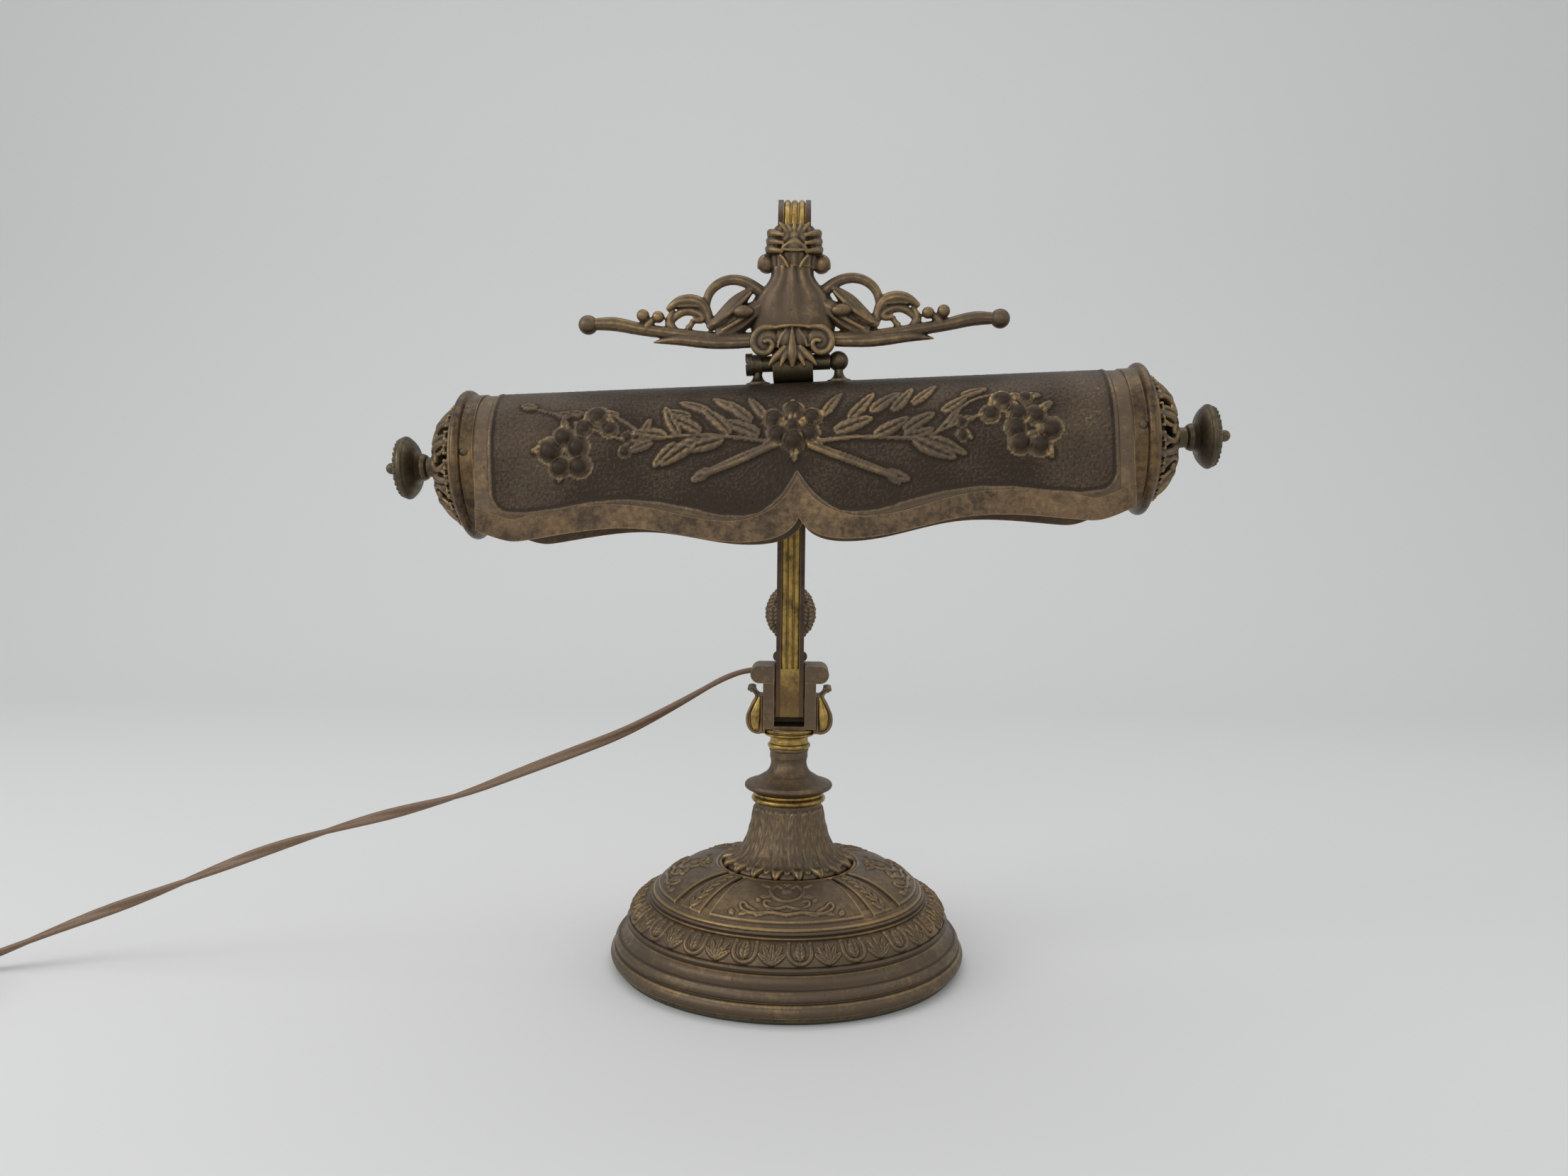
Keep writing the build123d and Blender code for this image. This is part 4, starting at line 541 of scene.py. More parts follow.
shade = {  # mm and degrees
    "hinge": (0.0, -90.0, 293.5),
    "yaw": 1.75,
    "roll": 2.8,
    "pitch": -2.7,
    "drop": 38.5,  # from the hinge down to the shade's axis
    "shift": 2.5,
    "radius": 29.4,
    "skin": 0.12,  # the panel lies this far outside the shell
    "lift": 0.28,
    "sink": 0.35,  # of the panel's own edges, under the shell's surface
    "half": 134.5,
    "notch": -1.5,
    "flange": 2.6,  # plain strip outside the border
    "cornerRadius": 9.0,
    "panelHalf": 129.0,
    # Lower edge of the panel: distance from the notch, drop under the axis
    "border": [(0, 11.2), (3, 16.2), (7, 21.4), (12, 25.8), (17, 28.4), (23, 29.2), (32, 28.6), (44, 25.6), (58, 22.4),
               (72, 20.8), (86, 21.4), (100, 23.6), (113, 24.9), (124, 24.0), (135, 20.0)],
    # Stems that leave the flower, the thick ones below it crossing like tied stalks: points, half width, rise, taper
    "stems": [
        ([(-8, 1), (-22, 4), (-38, 6), (-54, 6), (-68, 4), (-80, 8), (-92, 14)], 1.1, 1.1, 0.6),
        ([(4, 1), (20, 3), (36, 2), (50, 1), (62, 6), (74, 10), (84, 14)], 1.1, 1.1, 0.6),
        ([(-10, 1), (-24, -5), (-39, -10)], 1.5, 1.7, 1.0),
        ([(4, 0), (20, -7), (38, -14)], 1.5, 1.7, 1.0),
        ([(-6, 3), (-20, -1), (-37, -8)], 0.9, 1.2, 1.0),
        ([(2, 2), (18, -4), (36, -12)], 0.9, 1.2, 1.0),
        ([(-62, 5), (-76, 17), (-90, 19), (-100, 18), (-112, 23)], 0.8, 0.9, 0.7),
        ([(56, 4), (64, 12), (72, 18), (84, 20)], 0.8, 0.9, 0.7),
    ],
    # Leaves of the stalks and of the two sprays: place along, place round, angle, length, width, rise, curl
    "leaves": [
        (34, -12, -18, 11, 5.5, 1.2, 0), (34, -11, -45, 9, 4.5, 1.0, 0), (-36, -8, 208, 10, 5.0, 1.0, 0),
        (-16, 5, 152, 17, 6.5, 1.5, 1.5), (-19, 11, 140, 15, 6, 1.4, -1.5), (-28, 6, 128, 17, 6.5, 1.6, 2),
        (-31, 4, 195, 19, 6.5, 1.7, -1), (-40, 7, 145, 16, 6, 1.6, 2), (-41, 4, 205, 19, 7, 1.8, 2),
        (-49, 6, 120, 15, 6, 1.7, -1.5), (-50, 3, 218, 14, 5.5, 1.5, 1), (-54, 6, 165, 14, 5.5, 1.4, 1.5),
        (-44, 14, 160, 13, 5, 1.3, 1), (-36, 16, 150, 15, 5, 1.2, 1.5), (-60, 4, 195, 11, 5, 1.2, 1),
        (-65, 5, 60, 10, 4.5, 1.2, 1), (-24, 16, 150, 14, 5, 1.2, -1), (-14, 12, 115, 13, 5, 1.5, 1.5),
        (10, 12, 62, 14, 5, 1.5, -1.5), (14, 5, 22, 17, 6.5, 1.5, -1), (20, 10, 44, 17, 6, 1.5, 1.5),
        (29, 13, 40, 16, 6, 1.4, -1), (30, 3, 20, 16, 6, 1.6, 1.5), (38, 13, 48, 15, 5.5, 1.4, 1.2),
        (42, 4, 35, 15, 6, 1.6, -1.5), (46, 1, -32, 19, 7, 1.7, 2), (52, 1, -18, 17, 5.5, 1.5, -2),
        (46, 16, 40, 15, 5, 1.2, 1), (58, 12, 28, 13, 5, 1.2, 1), (66, 19, 24, 12, 4.5, 1.2, -1),
        (42, 2, 8, 13, 5, 1.3, 1), (60, 6, 55, 9, 4, 1.0, 0),
    ],
    "buds": [(-109, 22.5), (-89, 17.5), (-94, 17)],
    # Berries of the flower and of the two clusters: place along the shade, place round it, radius
    "flower": [(-10.5, 12, 3.4), (-2.3, 16, 3.4), (5.2, 12, 3.4), (-9.3, 5, 3.4), (3.8, 5, 3.4), (-2.7, 2.2, 4.0),
               (-2.6, 9, 2.4)],
    "clusters": [
        (-102.5, 2, 4.2), (-96.8, 7.6, 3.5), (-91.0, 3.2, 3.8), (-98.6, -5, 3.7), (-90.4, -4.8, 3.9),
        (-88.4, 11, 3.2), (-77.8, 10.2, 3.0), (-83, 16.4, 3.9), (-70.2, 6.4, 2.1), (-71.5, 0.5, 2.2),
        (77.2, 10.2, 3.2), (88.3, 10.1, 3.4), (95.6, 8.9, 3.4), (87.3, 4.0, 3.5), (101.4, 3.0, 3.8),
        (88.8, -2.2, 3.9), (96.6, -3.2, 3.9), (82.8, 16.2, 3.8), (92, 17, 2.6), (65.6, 7.4, 2.1), (66, 2, 2.1),
    ],
}


def shadeFrame():
    yaw, roll, tip = (math.radians(shade[key]) for key in ("yaw", "roll", "pitch"))
    along = np.array([math.cos(yaw) * math.cos(roll), -math.sin(yaw) * math.cos(roll), math.sin(roll)])
    level = np.array([math.sin(yaw), math.cos(yaw), 0.0])
    up = np.cross(along, level) * math.cos(tip) - level * math.sin(tip)
    return along, np.cross(up, along), up, np.array(shade["hinge"]) + along * shade["shift"] - up * shade["drop"]


shadeX, shadeY, shadeZ, shadeCentre = shadeFrame()


def onShade(x, y, z):
    return shadeCentre + np.outer(x, shadeX) + np.outer(y, shadeY) + np.outer(z, shadeZ)


def innerBorder(x):
    # Height under the axis of the panel's lower edge, with its peak over the notch
    away = np.abs(x - shade["notch"] * (1 - np.abs(x) / shade["half"]))
    return -np.interp(away, *zip(*shade["border"]))


def panelRelief(x, s):
    # x along the shade and s round it, both in mm; s is 0 at the front and grows towards the back
    field = np.zeros_like(x)
    for points, thick, rise, taper in shade["stems"]:
        stem(field, x, s, points, thick, rise, taper)
    for x0, s0, angle, length, width, rise, curl in shade["leaves"]:
        leaf(field, x, s, (x0, s0), angle, length, width, rise, curl)
    # Flower: petals under the berries, then the berries themselves
    for angle in range(30, 390, 60):
        turn = math.radians(angle)
        leaf(field, x, s, (-2.5 + 3 * math.cos(turn), 7.5 + 3 * math.sin(turn)), angle, 11, 5.0, 1.5)
    for x0, s0, radius in shade["flower"]:
        berry(field, x, s, (x0, s0), radius, radius * 0.9)
    for x0, s0, radius in shade["clusters"]:
        leaf(field, x, s, (x0 + 1.2, s0 + 1.5), (x0 * 37 + s0 * 11) % 360, radius * 2.1, radius * 1.2, 1.3)
    for x0, s0, radius in shade["clusters"]:
        berry(field, x, s, (x0, s0), radius, radius * 0.84)
    for bud in shade["buds"]:
        leaf(field, x, s, bud, 170, 7, 4.2, 1.6)
    return field


def borderDistance(x, level):
    # How far a point is inside the panel's border, with rounded lower corners
    ends, lower = shade["panelHalf"] - np.abs(x), level - innerBorder(x)
    bend = shade["cornerRadius"]
    corner = (ends < bend) & (lower < bend)
    return np.where(corner, bend - np.hypot(bend - ends, bend - lower), np.minimum(ends, lower))


def mirrorRound(x, s):
    # The back of the shade carries the front's work, turned round
    quarter = math.pi / 2 * (shade["radius"] + shade["skin"])
    return np.where(s < quarter, x, -x), np.where(s < quarter, s, 2 * quarter - s)


def berryMask(lay, level, spread=1.0):
    # 1 in the middle of a berry, 0 outside
    mask = np.zeros_like(lay)
    for x0, s0, radius in shade["flower"] + shade["clusters"]:
        mask = np.maximum(mask, 1 - np.hypot(lay - x0, level - s0) / (radius * spread))
    return mask


def embossShade():
    half, radius = shade["panelHalf"], shade["radius"] + shade["skin"]
    quarter = math.pi / 2 * radius

    def spread(u, v):
        # v runs from the front border over the top to the back border
        x = (u - 0.5) * 2 * half
        low = innerBorder(x) - shade["flange"]
        return x, low + v * 2 * (quarter - low), low

    def relief(x, s):
        lay, level = mirrorRound(x, s)
        border = borderDistance(x, level)
        return panelRelief(lay, level) * np.clip((border - 1.0) / 1.5, 0, 1), border, lay, level

    def place(u, v):
        x, s, low = spread(u, v)
        field, border, _, level = relief(x, s)
        hammered = (speckle(x, s, 1.5, 3.0) * 0.16 + speckle(x, s, 0.9, 9.0) * 0.08) * 0.8
        # Raised bead along the border, the plain strip outside it a little lower
        bead = 0.32 * np.exp(-((border - 1.4) / 0.6) ** 2)
        rise = np.where(field > 0.02, field, hammered) * (border > 0.4) + bead - 0.12 * (border < 0.4)
        # The grid's own edges go under the plain strip and the rim band
        inside = np.clip(np.minimum(half - np.abs(x), level - low - 0.1) / 0.8, 0, 1)
        reach = radius + (rise + shade["lift"]) * inside - shade["sink"] * (1 - inside)
        turn = np.clip(s / radius, 0, math.pi)
        skirt = np.where(s < 0, s, np.where(s > 2 * quarter, 2 * quarter - s, 0))
        return onShade(x, -reach * np.cos(turn), reach * np.sin(turn) + skirt)

    def wearAndPaintedLight(u, v):
        x, s, _ = spread(u, v)
        field, border, lay, level = relief(x, s)
        # Rubbed on the crests, on some leaves more than on others
        crest = np.clip(crispness(field, u, v, 2) * 1.2, -0.5, 0.20 + speckle(x, s, 11.0, 5.0) * 0.22)
        # The hammered ground kept most of its dark lacquer, least of it at the ends and above the sprays
        sootAndShade = 0.40 - 0.14 * np.exp(-((np.abs(x) - 116) / 17) ** 2) + speckle(x, s, 16.0, 2.0) * 0.12
        # Below the front's middle line the ground is a step darker than over the top and the back: painted shade under
        # the shade's curve
        sootAndShade = np.where((field < 0.02) & (border > 2.0), sootAndShade - 0.03 * np.tanh(s / 8), 0.10)
        # The berries stay dark inside a light ring
        ring = berryMask(lay, level, 1.4) > 0
        sootAndShade = np.where(ring, -0.05, sootAndShade)
        ripe = np.clip((berryMask(lay, level) - 0.04) / 0.2, 0, 1)
        # Painted highlight along the border bead, and inside it a dark painted line that stands in for a groove and its
        # shade
        paintedBeadAndGroove = 0.16 * np.exp(-((border - 1.2) / 0.5) ** 2) - 0.4 * np.exp(-((border - 2.7) / 0.6) ** 2)
        flecks = speckle(x, s, 0.9, 9.0) * 0.28 * ((field < 0.02) & (border > 0.4))
        return (crest + 0.26 * ring) * (1 - ripe) - 0.46 * ripe + paintedBeadAndGroove + flecks - sootAndShade

    panel = wrapGrid("shadePanel", 400, 230, place, patina, wearAndPaintedLight=wearAndPaintedLight)
    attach(panel, "shade")


embossShade()
print("shade panel embossed")


# Foot: turned mouldings with the leaf frieze and the panelled dome

foot = {
    # Outlines in mm: radius, height, bow of the line that leads there
    "profile": [
        (88.7, 3.4, 0), (88.5, 9.2, 0.6), (87.0, 9.9, 0), (86.4, 14.6, 0.4), (84.7, 15.3, 0), (80.8, 20.8, -1.2),
        (80.8, 23.5, 0.9), (80.0, 23.7, 0),
    ],
    "frieze": [(80.0, 23.6, 0), (70.0, 32.6, 2.6)],
    "rings": [(70.0, 32.6, 0), (69.4, 34.3, 0.8), (68.8, 36.0, 0.8)],
    "dome": [(68.8, 36.0, 0), (32.0, 49.0, 4.2)],
    "cone": [(32.0, 49.0, 0), (30.8, 51.4, 0.6), (20.4, 61.5, -1.6), (16.5, 82.0, -0.8)],
    # Rubbed and dirty lines in mm: distance along the outline, half width, strength
    "mouldingLines": [(1.0, 0.7, 0.40), (3.2, 1.0, -0.12), (6.0, 0.5, 0.36), (7.2, 0.5, -0.4), (11.6, 0.8, 0.26),
                      (13.6, 0.6, -0.35), (21.4, 0.8, 0.42), (23.4, 0.4, -0.4)],
    "ringLines": [(0.1, 0.4, -0.4), (0.9, 0.5, 0.42), (1.8, 0.3, -0.4), (2.7, 0.5, 0.36), (3.5, 0.3, -0.4)],
    "domeLines": [(1.3, 0.7, 0.3), (38.2, 1.1, 0.34)],
    "motifs": 38,
    "friezeRadius": 75.0,
    "narrowPanel": 12.5,  # degrees
    "channel": 4.6,  # degrees between two panels
    "panelStart": 4.6,
    "panelEnd": 36.4,
    "domeLength": 39.6,
    "coneLeaves": 18,
    "conePitch": 10.6,
    "coneLength": 36.5,
}


def turnedLine(profile, count):
    # Points, outward normals and length of a turned outline, evenly spaced by length
    trace, steps = [], 24
    for (r0, z0, _), (r1, z1, bow) in zip(profile, profile[1:]):
        way = np.array([r1 - r0, z1 - z0], float)
        out = np.array([way[1], -way[0]]) / np.hypot(*way)
        for step in range(steps):
            t = step / steps
            trace.append(np.array([r0, z0]) + way * t + out * bow * 4 * t * (1 - t))
    trace = np.array(trace + [np.array(profile[-1][:2], float)])
    gaps = np.hypot(*np.diff(trace, axis=0).T)
    along = np.concatenate([[0], np.cumsum(gaps)])
    marks = np.linspace(0, along[-1], count)
    line = np.stack([np.interp(marks, along, trace[:, k]) for k in (0, 1)], axis=1)
    ways = np.gradient(line, axis=0)
    ways /= np.hypot(*ways.T)[:, None]
    outs = np.stack([ways[:, 1], -ways[:, 0]], axis=1)
    return line, outs, along[-1]


def turnedSkin(name, profile, around, count, relief, material, wearAndPaintedLight, lift=0.32, centre=(0.0, 0.0), body="foot"):
    # Skin over a turned CAD piece, pressed out by relief(angle, distance along the outline, radius) in mm
    line, outs, length = turnedLine(profile, count + 1)

    def rows(v):
        return np.clip(np.rint(v * count).astype(int), 0, count)

    def place(u, v):
        row = rows(v)
        angle = 2 * np.pi * u
        rise = relief(angle, v * length, line[row, 0]) + lift
        rise = np.where((row == 0) | (row == count), -0.25, rise)  # both edges go under the surface
        r = line[row, 0] + outs[row, 0] * rise
        z = line[row, 1] + outs[row, 1] * rise
        return np.stack([centre[0] + r * np.sin(angle), centre[1] - r * np.cos(angle), z], axis=1)

    def worn(u, v):
        return wearAndPaintedLight(u, v, relief(2 * np.pi * u, v * length, line[rows(v), 0]), v * length)

    skin = wrapGrid(name, around, count, place, material, closed=True, wearAndPaintedLight=worn)
    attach(skin, body)
    return skin


def friezeRelief(angle, along, radius):
    pitch = 2 * math.pi * foot["friezeRadius"] / foot["motifs"]
    x = np.mod(angle * foot["friezeRadius"], 2 * pitch)
    field = np.zeros_like(x)
    bend = [(-5.2 * math.cos(turn), 6.8 - 5.0 * math.sin(turn)) for turn in map(math.radians, range(0, 181, 20))]
    for shift in (0, -2 * pitch, 2 * pitch):
        # A U-shaped leaf with a bud inside
        a = x + shift - pitch * 0.5
        stem(field, a, along, [(-5.0, 12.0), *bend, (5.0, 12.0)], 1.0, 1.1)
        leaf(field, a, along, (0, 3.4), 90, 9.0, 5.2, 1.4)
        for side in (-5.0, 5.0):
            berry(field, a, along, (side, 11.6), 1.2, 1.2)
        # A fan of five leaves
        a = x + shift - pitch * 1.5
        for turn, length in ((90, 10.5), (62, 9.5), (118, 9.5), (36, 7.5), (144, 7.5)):
            leaf(field, a, along, (0, 1.6), turn, length, 3.0, 1.3)
        berry(field, a, along, (0, 2.0), 1.3, 1.3)
    return field


def cartouche(x, y):
    # Shield with a bud, scrolls beside it, two leafy branches under it
    ring = np.abs(np.hypot(x / 7.6, (y - 24.5) / 7.0) - 1)
    field = 1.1 * np.sqrt(np.clip(1 - (ring / 0.16) ** 2, 0, 1))
    berry(field, x, y, (0, 25), 2.6, 1.6)
    for side in (-1, 1):
        leaf(field, x, y, (side * 1.0, 27), 90 - side * 40, 7, 3.4, 1.2)
        leaf(field, x, y, (side * 7.2, 28), 90 - side * 65, 6, 3.0, 1.2)
        leaf(field, x, y, (side * 7.6, 21), -90 + side * 70, 6, 3.0, 1.1)
        for points, thick, rise, taper in (
                ([(0, 9), (7, 10.5), (14, 9.0), (20, 9.5), (23, 13), (20.5, 15.5), (18.5, 13)], 1.0, 1.3, 0.75),
                ([(0, 14), (6, 12), (11, 14.5), (10.4, 17.5), (7.8, 17)], 0.9, 1.2, 0.8)):
            stem(field, x, y, [(side * reach, level) for reach, level in points], thick, rise, taper)
        for reach, turn in ((5, 25), (10, -20), (14, 35), (18, -25)):
            leaf(field, x, y, (side * reach, 9.8), 90 - side * (90 - turn), 5.4, 2.4, 1.1)
        berry(field, x, y, (side * 26.5, 8.5), 1.8, 1.3)
        berry(field, x, y, (side * 13.5, 17.5), 1.5, 1.3)
    for reach in (-2.4, 0, 2.4):
        leaf(field, x, y, (reach, 33.2), 270, 4.0, 2.4, 0.9)
    return field


def domeRelief(angle, along, radius):
    # Four large panels with a cartouche, four narrow ones with a sprig, sunk channels between them
    quarter = np.mod(angle + math.pi / 4, math.pi / 2) - math.pi / 4  # 0 in the middle of a large panel
    share = np.abs(np.degrees(quarter))
    narrow = 45 - foot["narrowPanel"] / 2
    large = narrow - foot["channel"]
    start, end, top = foot["panelStart"], foot["panelEnd"], foot["domeLength"]
    level = (along > start) & (along < end)
    rim = np.minimum.reduce([(large - share) * math.pi / 180 * radius, along - start, end - along])
    plate = 0.55 + 0.35 * np.exp(-((rim - 0.6) / 0.5) ** 2) + cartouche(quarter * radius, along) * 0.75
    field = np.maximum(0, np.where((share < large) & level, plate, 0))
    # Paired leaves up a stem
    sideways = (share - 45) * math.pi / 180 * radius
    sprig = np.zeros_like(sideways)
    for step in range(6):
        small = 1 - 0.07 * step
        for turn in (52, 128):
            leaf(sprig, sideways, along, (0, 6.5 + step * 4.8), turn, 5.6 * small, 2.6 * small, 1.1)
    stem(sprig, sideways, along, [(0, 5.5), (0, 34.0)], 0.6, 0.8)
    field = np.where((share > narrow) & level, 0.5 + sprig * 0.8, field)
    channels = (share > large) & (share < narrow) & (along > 3.4) & (along < top - 2.6)
    # Two rings frame the panels
    rings = 0.5 * np.exp(-((along - 1.2) / 0.7) ** 2) + 0.5 * np.exp(-((along - (top - 1.4)) / 0.8) ** 2)
    return np.where(channels, -0.75, field) + rings


def coneRelief(angle, along, radius):
    # Two rings of tall pointed leaves; the tips curl out over the foot
    field = np.zeros_like(angle)
    count, pitch, length = foot["coneLeaves"], foot["conePitch"], foot["coneLength"]
    for shift, bottom, rise in ((0.5, 2.8, 0.8), (0.0, 0.4, 1.5)):
        phase = np.mod(angle / (2 * np.pi) * count + shift, 1.0) - 0.5
        layer = np.zeros_like(angle)
        leaf(layer, phase * pitch, along, (0, length), 270, length - bottom, pitch * 1.12, rise)
        field = np.where(layer > 0.08, layer + 0.25 * (shift == 0), field)
    curl = 0.9 * np.exp(-(((along - 3.2) / 2.6) ** 2)) * np.clip(field, 0, 1)
    flutes = 0.22 * np.cos(angle * count * 2) * np.clip((along - 8) / 8, 0, 1)
    return (field * (1 - 0.35 * along / 37) + curl + flutes) * np.clip((36.8 - along) / 1.5, 0, 1)


def rubbedLines(along, lines):
    worn = np.zeros_like(along)
    for place, half, strength in lines:
        worn += strength * np.exp(-(((along - place) / half) ** 2))
    return worn


def crestWear(reach, gain, base=0.0, lines=()):
    # Rubbed where the relief stands out, dirty in its deep channels
    def wearAndPaintedLight(u, v, rise, along):
        worn = np.clip(crispness(rise, u, v, reach) * gain, -0.55, 0.5) + base - 0.5 * (rise < -0.5)
        return worn + rubbedLines(along, lines)
    return wearAndPaintedLight


def mouldingWear(lines):
    # Rubbed along the crests of the beads only
    return lambda u, v, rise, along: rubbedLines(along, lines) - 0.02


def plainRelief(angle, along, radius):
    return np.zeros_like(angle)


def dressFoot():
    turnedSkin("footMouldings", foot["profile"], 256, 60, plainRelief, patina, mouldingWear(foot["mouldingLines"]))
    turnedSkin("footRings", foot["rings"], 256, 24, plainRelief, patina, mouldingWear(foot["ringLines"]))
    turnedSkin("leafFrieze", foot["frieze"], 1140, 34, friezeRelief, patina, crestWear(1, 1.3, 0.02))
    turnedSkin("panelDome", foot["dome"], 840, 84, domeRelief, patina,
               crestWear(2, 1.3, 0.03, foot["domeLines"]))
    turnedSkin("coneLeaves", foot["cone"], 720, 72, coneRelief, patina, crestWear(2, 1.1, -0.04))


dressFoot()
print("foot dressed")


# Cast ornament: round strokes, lumps and shaped tubes fused into one skin

def strokeMesh(strokes):
    # Each stroke is a list of (x, y, z, radius) in mm along a smooth line
    data = bpy.data.curves.new("strokes", "CURVE")
    data.dimensions = "3D"
    data.resolution_u = 5
    data.bevel_depth = mm
    data.bevel_resolution = 2
    data.use_fill_caps = True
    for stroke in strokes:
        spline = data.splines.new("NURBS")
        spline.points.add(len(stroke) - 1)
        for handle, (x, y, z, radius) in zip(spline.points, stroke):
            handle.co = (x * mm, y * mm, z * mm, 1.0)
            handle.radius = radius
        spline.order_u = min(3, len(stroke))
        spline.use_endpoint_u = True
    drawn = bpy.data.objects.new("strokes", data)
    bpy.context.scene.collection.objects.link(drawn)
    bpy.context.view_layer.update()
    mesh = bpy.data.meshes.new_from_object(drawn.evaluated_get(bpy.context.evaluated_depsgraph_get()))
    bpy.data.objects.remove(drawn)
    return mesh


def shapedTube(around, rows, shape):
    # A cylinder with extra rows, reshaped by shape(angle, t) that gives (x, y, z) in mm; t runs from 0 to 1
    mesh = bmesh.new()
    bmesh.ops.create_cone(mesh, cap_ends=True, segments=around, radius1=1, radius2=1, depth=1)
    uprights = [edge for edge in mesh.edges if abs(edge.verts[0].co.z - edge.verts[1].co.z) > 0.5]
    bmesh.ops.subdivide_edges(mesh, edges=uprights, cuts=rows - 1)
    for vert in mesh.verts:
        x, y, z = shape(math.atan2(vert.co.x, -vert.co.y), vert.co.z + 0.5)
        vert.co = Vector((x, y, z)) * mm
    data = bpy.data.meshes.new("tube")
    mesh.to_mesh(data)
    mesh.free()
    return data


def curvatureWear(data, gain, rounds=5, base=0.0):
    # Convex places are rubbed, hollows keep their dirt: each point against its smoothed surroundings
    count = len(data.vertices)
    ends = np.empty(len(data.edges) * 2, dtype=int)
    data.edges.foreach_get("vertices", ends)
    a, b = ends[0::2], ends[1::2]
    spots = np.empty(count * 3)
    data.vertices.foreach_get("co", spots)
    normals = np.empty(count * 3)
    data.vertices.foreach_get("normal", normals)
    spots, normals = spots.reshape(-1, 3) / mm, normals.reshape(-1, 3)
    degree = np.bincount(a, minlength=count) + np.bincount(b, minlength=count)
    soft = spots.copy()
    for turn in range(rounds):
        total = [np.bincount(a, soft[b, k], count) + np.bincount(b, soft[a, k], count) for k in range(3)]
        soft = np.stack(total, axis=1) / np.maximum(degree, 1)[:, None]
    height = np.einsum("ij,ij->i", spots - soft, normals)
    worn = data.attributes.new("wearAndPaintedLight", "FLOAT", "POINT")
    worn.data.foreach_set("value", (np.clip(height * gain, -0.5, 0.42) + base).astype(np.float32))


def fuse(name, parts, voxel, matrix=Matrix()):
    # One watertight skin round all parts; voxel is its grain in mm
    mesh = bmesh.new()
    for part in parts:
        mesh.from_mesh(part)
    bmesh.ops.transform(mesh, matrix=matrix, verts=mesh.verts)
    rough = bpy.data.meshes.new(name)
    mesh.to_mesh(rough)
    mesh.free()
    block = bpy.data.objects.new(name + "Rough", rough)
    bpy.context.scene.collection.objects.link(block)
    skin = block.modifiers.new("skin", "REMESH")
    skin.mode = "VOXEL"
    skin.voxel_size = voxel * mm
    soften = block.modifiers.new("soften", "SMOOTH")
    soften.iterations = 2
    soften.factor = 0.5
    bpy.context.view_layer.update()
    data = bpy.data.meshes.new_from_object(block.evaluated_get(bpy.context.evaluated_depsgraph_get()))
    bpy.data.objects.remove(block)
    data.name = name
    return data


def lumpMesh(lumps):
    # Each lump is (x, y, z, radius x, radius y, radius z) in mm
    mesh = bmesh.new()
    for x, y, z, rx, ry, rz in lumps:
        matrix = Matrix.Translation(Vector((x, y, z)) * mm) @ Matrix.Diagonal((rx * mm, ry * mm, rz * mm, 1))
        bmesh.ops.create_uvsphere(mesh, u_segments=20, v_segments=12, radius=1, matrix=matrix)
    data = bpy.data.meshes.new("lumps")
    mesh.to_mesh(data)
    mesh.free()
    return data


def castPiece(name, body, parts, voxel, matrix=Matrix(), material=None, gain=2.6, base=-0.06, stands=()):
    data = fuse(name, parts, voxel, matrix)
    curvatureWear(data, gain, base=base)
    piece = finishMesh(name, data, material or patina)
    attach(piece, body)
    if stands:
        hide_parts(*stands)
    return piece


def mirrored(strokes):
    return [[(side * x, *rest) for x, *rest in stroke] for stroke in strokes for side in (-1, 1)]


# Bracket: pierced scrolls beside a fluted bell, the palmette in front, the leaf cup on top

bracket = {  # mm and degrees
    "centre": (0.0, -90.0, 300.0),
    "yaw": 1.75,
    "roll": 1.2,
    "neckRise": 33.0,
    # Half widths of the bell over its height, across and deep
    "bellWide": [(-1, 15.0), (4, 17.5), (12, 18.6), (17, 18.4), (21, 16.8), (24, 14.0), (27, 11.0), (30, 9.2),
                 (36, 9.0)],
    "bellDeep": [(-1, 4.4), (6, 5.6), (14, 6.4), (22, 6.9), (27, 7.2), (36, 7.4)],
    "flutes": 13,
    "voxel": 0.42,
}


def bracketFrame():
    yaw, roll = math.radians(bracket["yaw"]), math.radians(bracket["roll"])
    along = Vector((math.cos(yaw) * math.cos(roll), -math.sin(yaw) * math.cos(roll), math.sin(roll)))
    back = Vector((math.sin(yaw), math.cos(yaw), 0))
    up = along.cross(back)
    matrix = Matrix((along, back, up)).transposed().to_4x4()
    matrix.translation = Vector(bracket["centre"]) * mm
    return matrix


def bellShape(angle, t):
    z = -1 + t * (bracket["neckRise"] + 2)
    wide = np.interp(z, *zip(*bracket["bellWide"]))
    deep = np.interp(z, *zip(*bracket["bellDeep"]))
    fold = 1 + 0.06 * math.cos(bracket["flutes"] * angle) * min(1, max(0.2, (z - 4) / 14))
    return wide * math.sin(angle) * (0.97 + 0.03 * fold), -deep * math.cos(angle) * fold, z


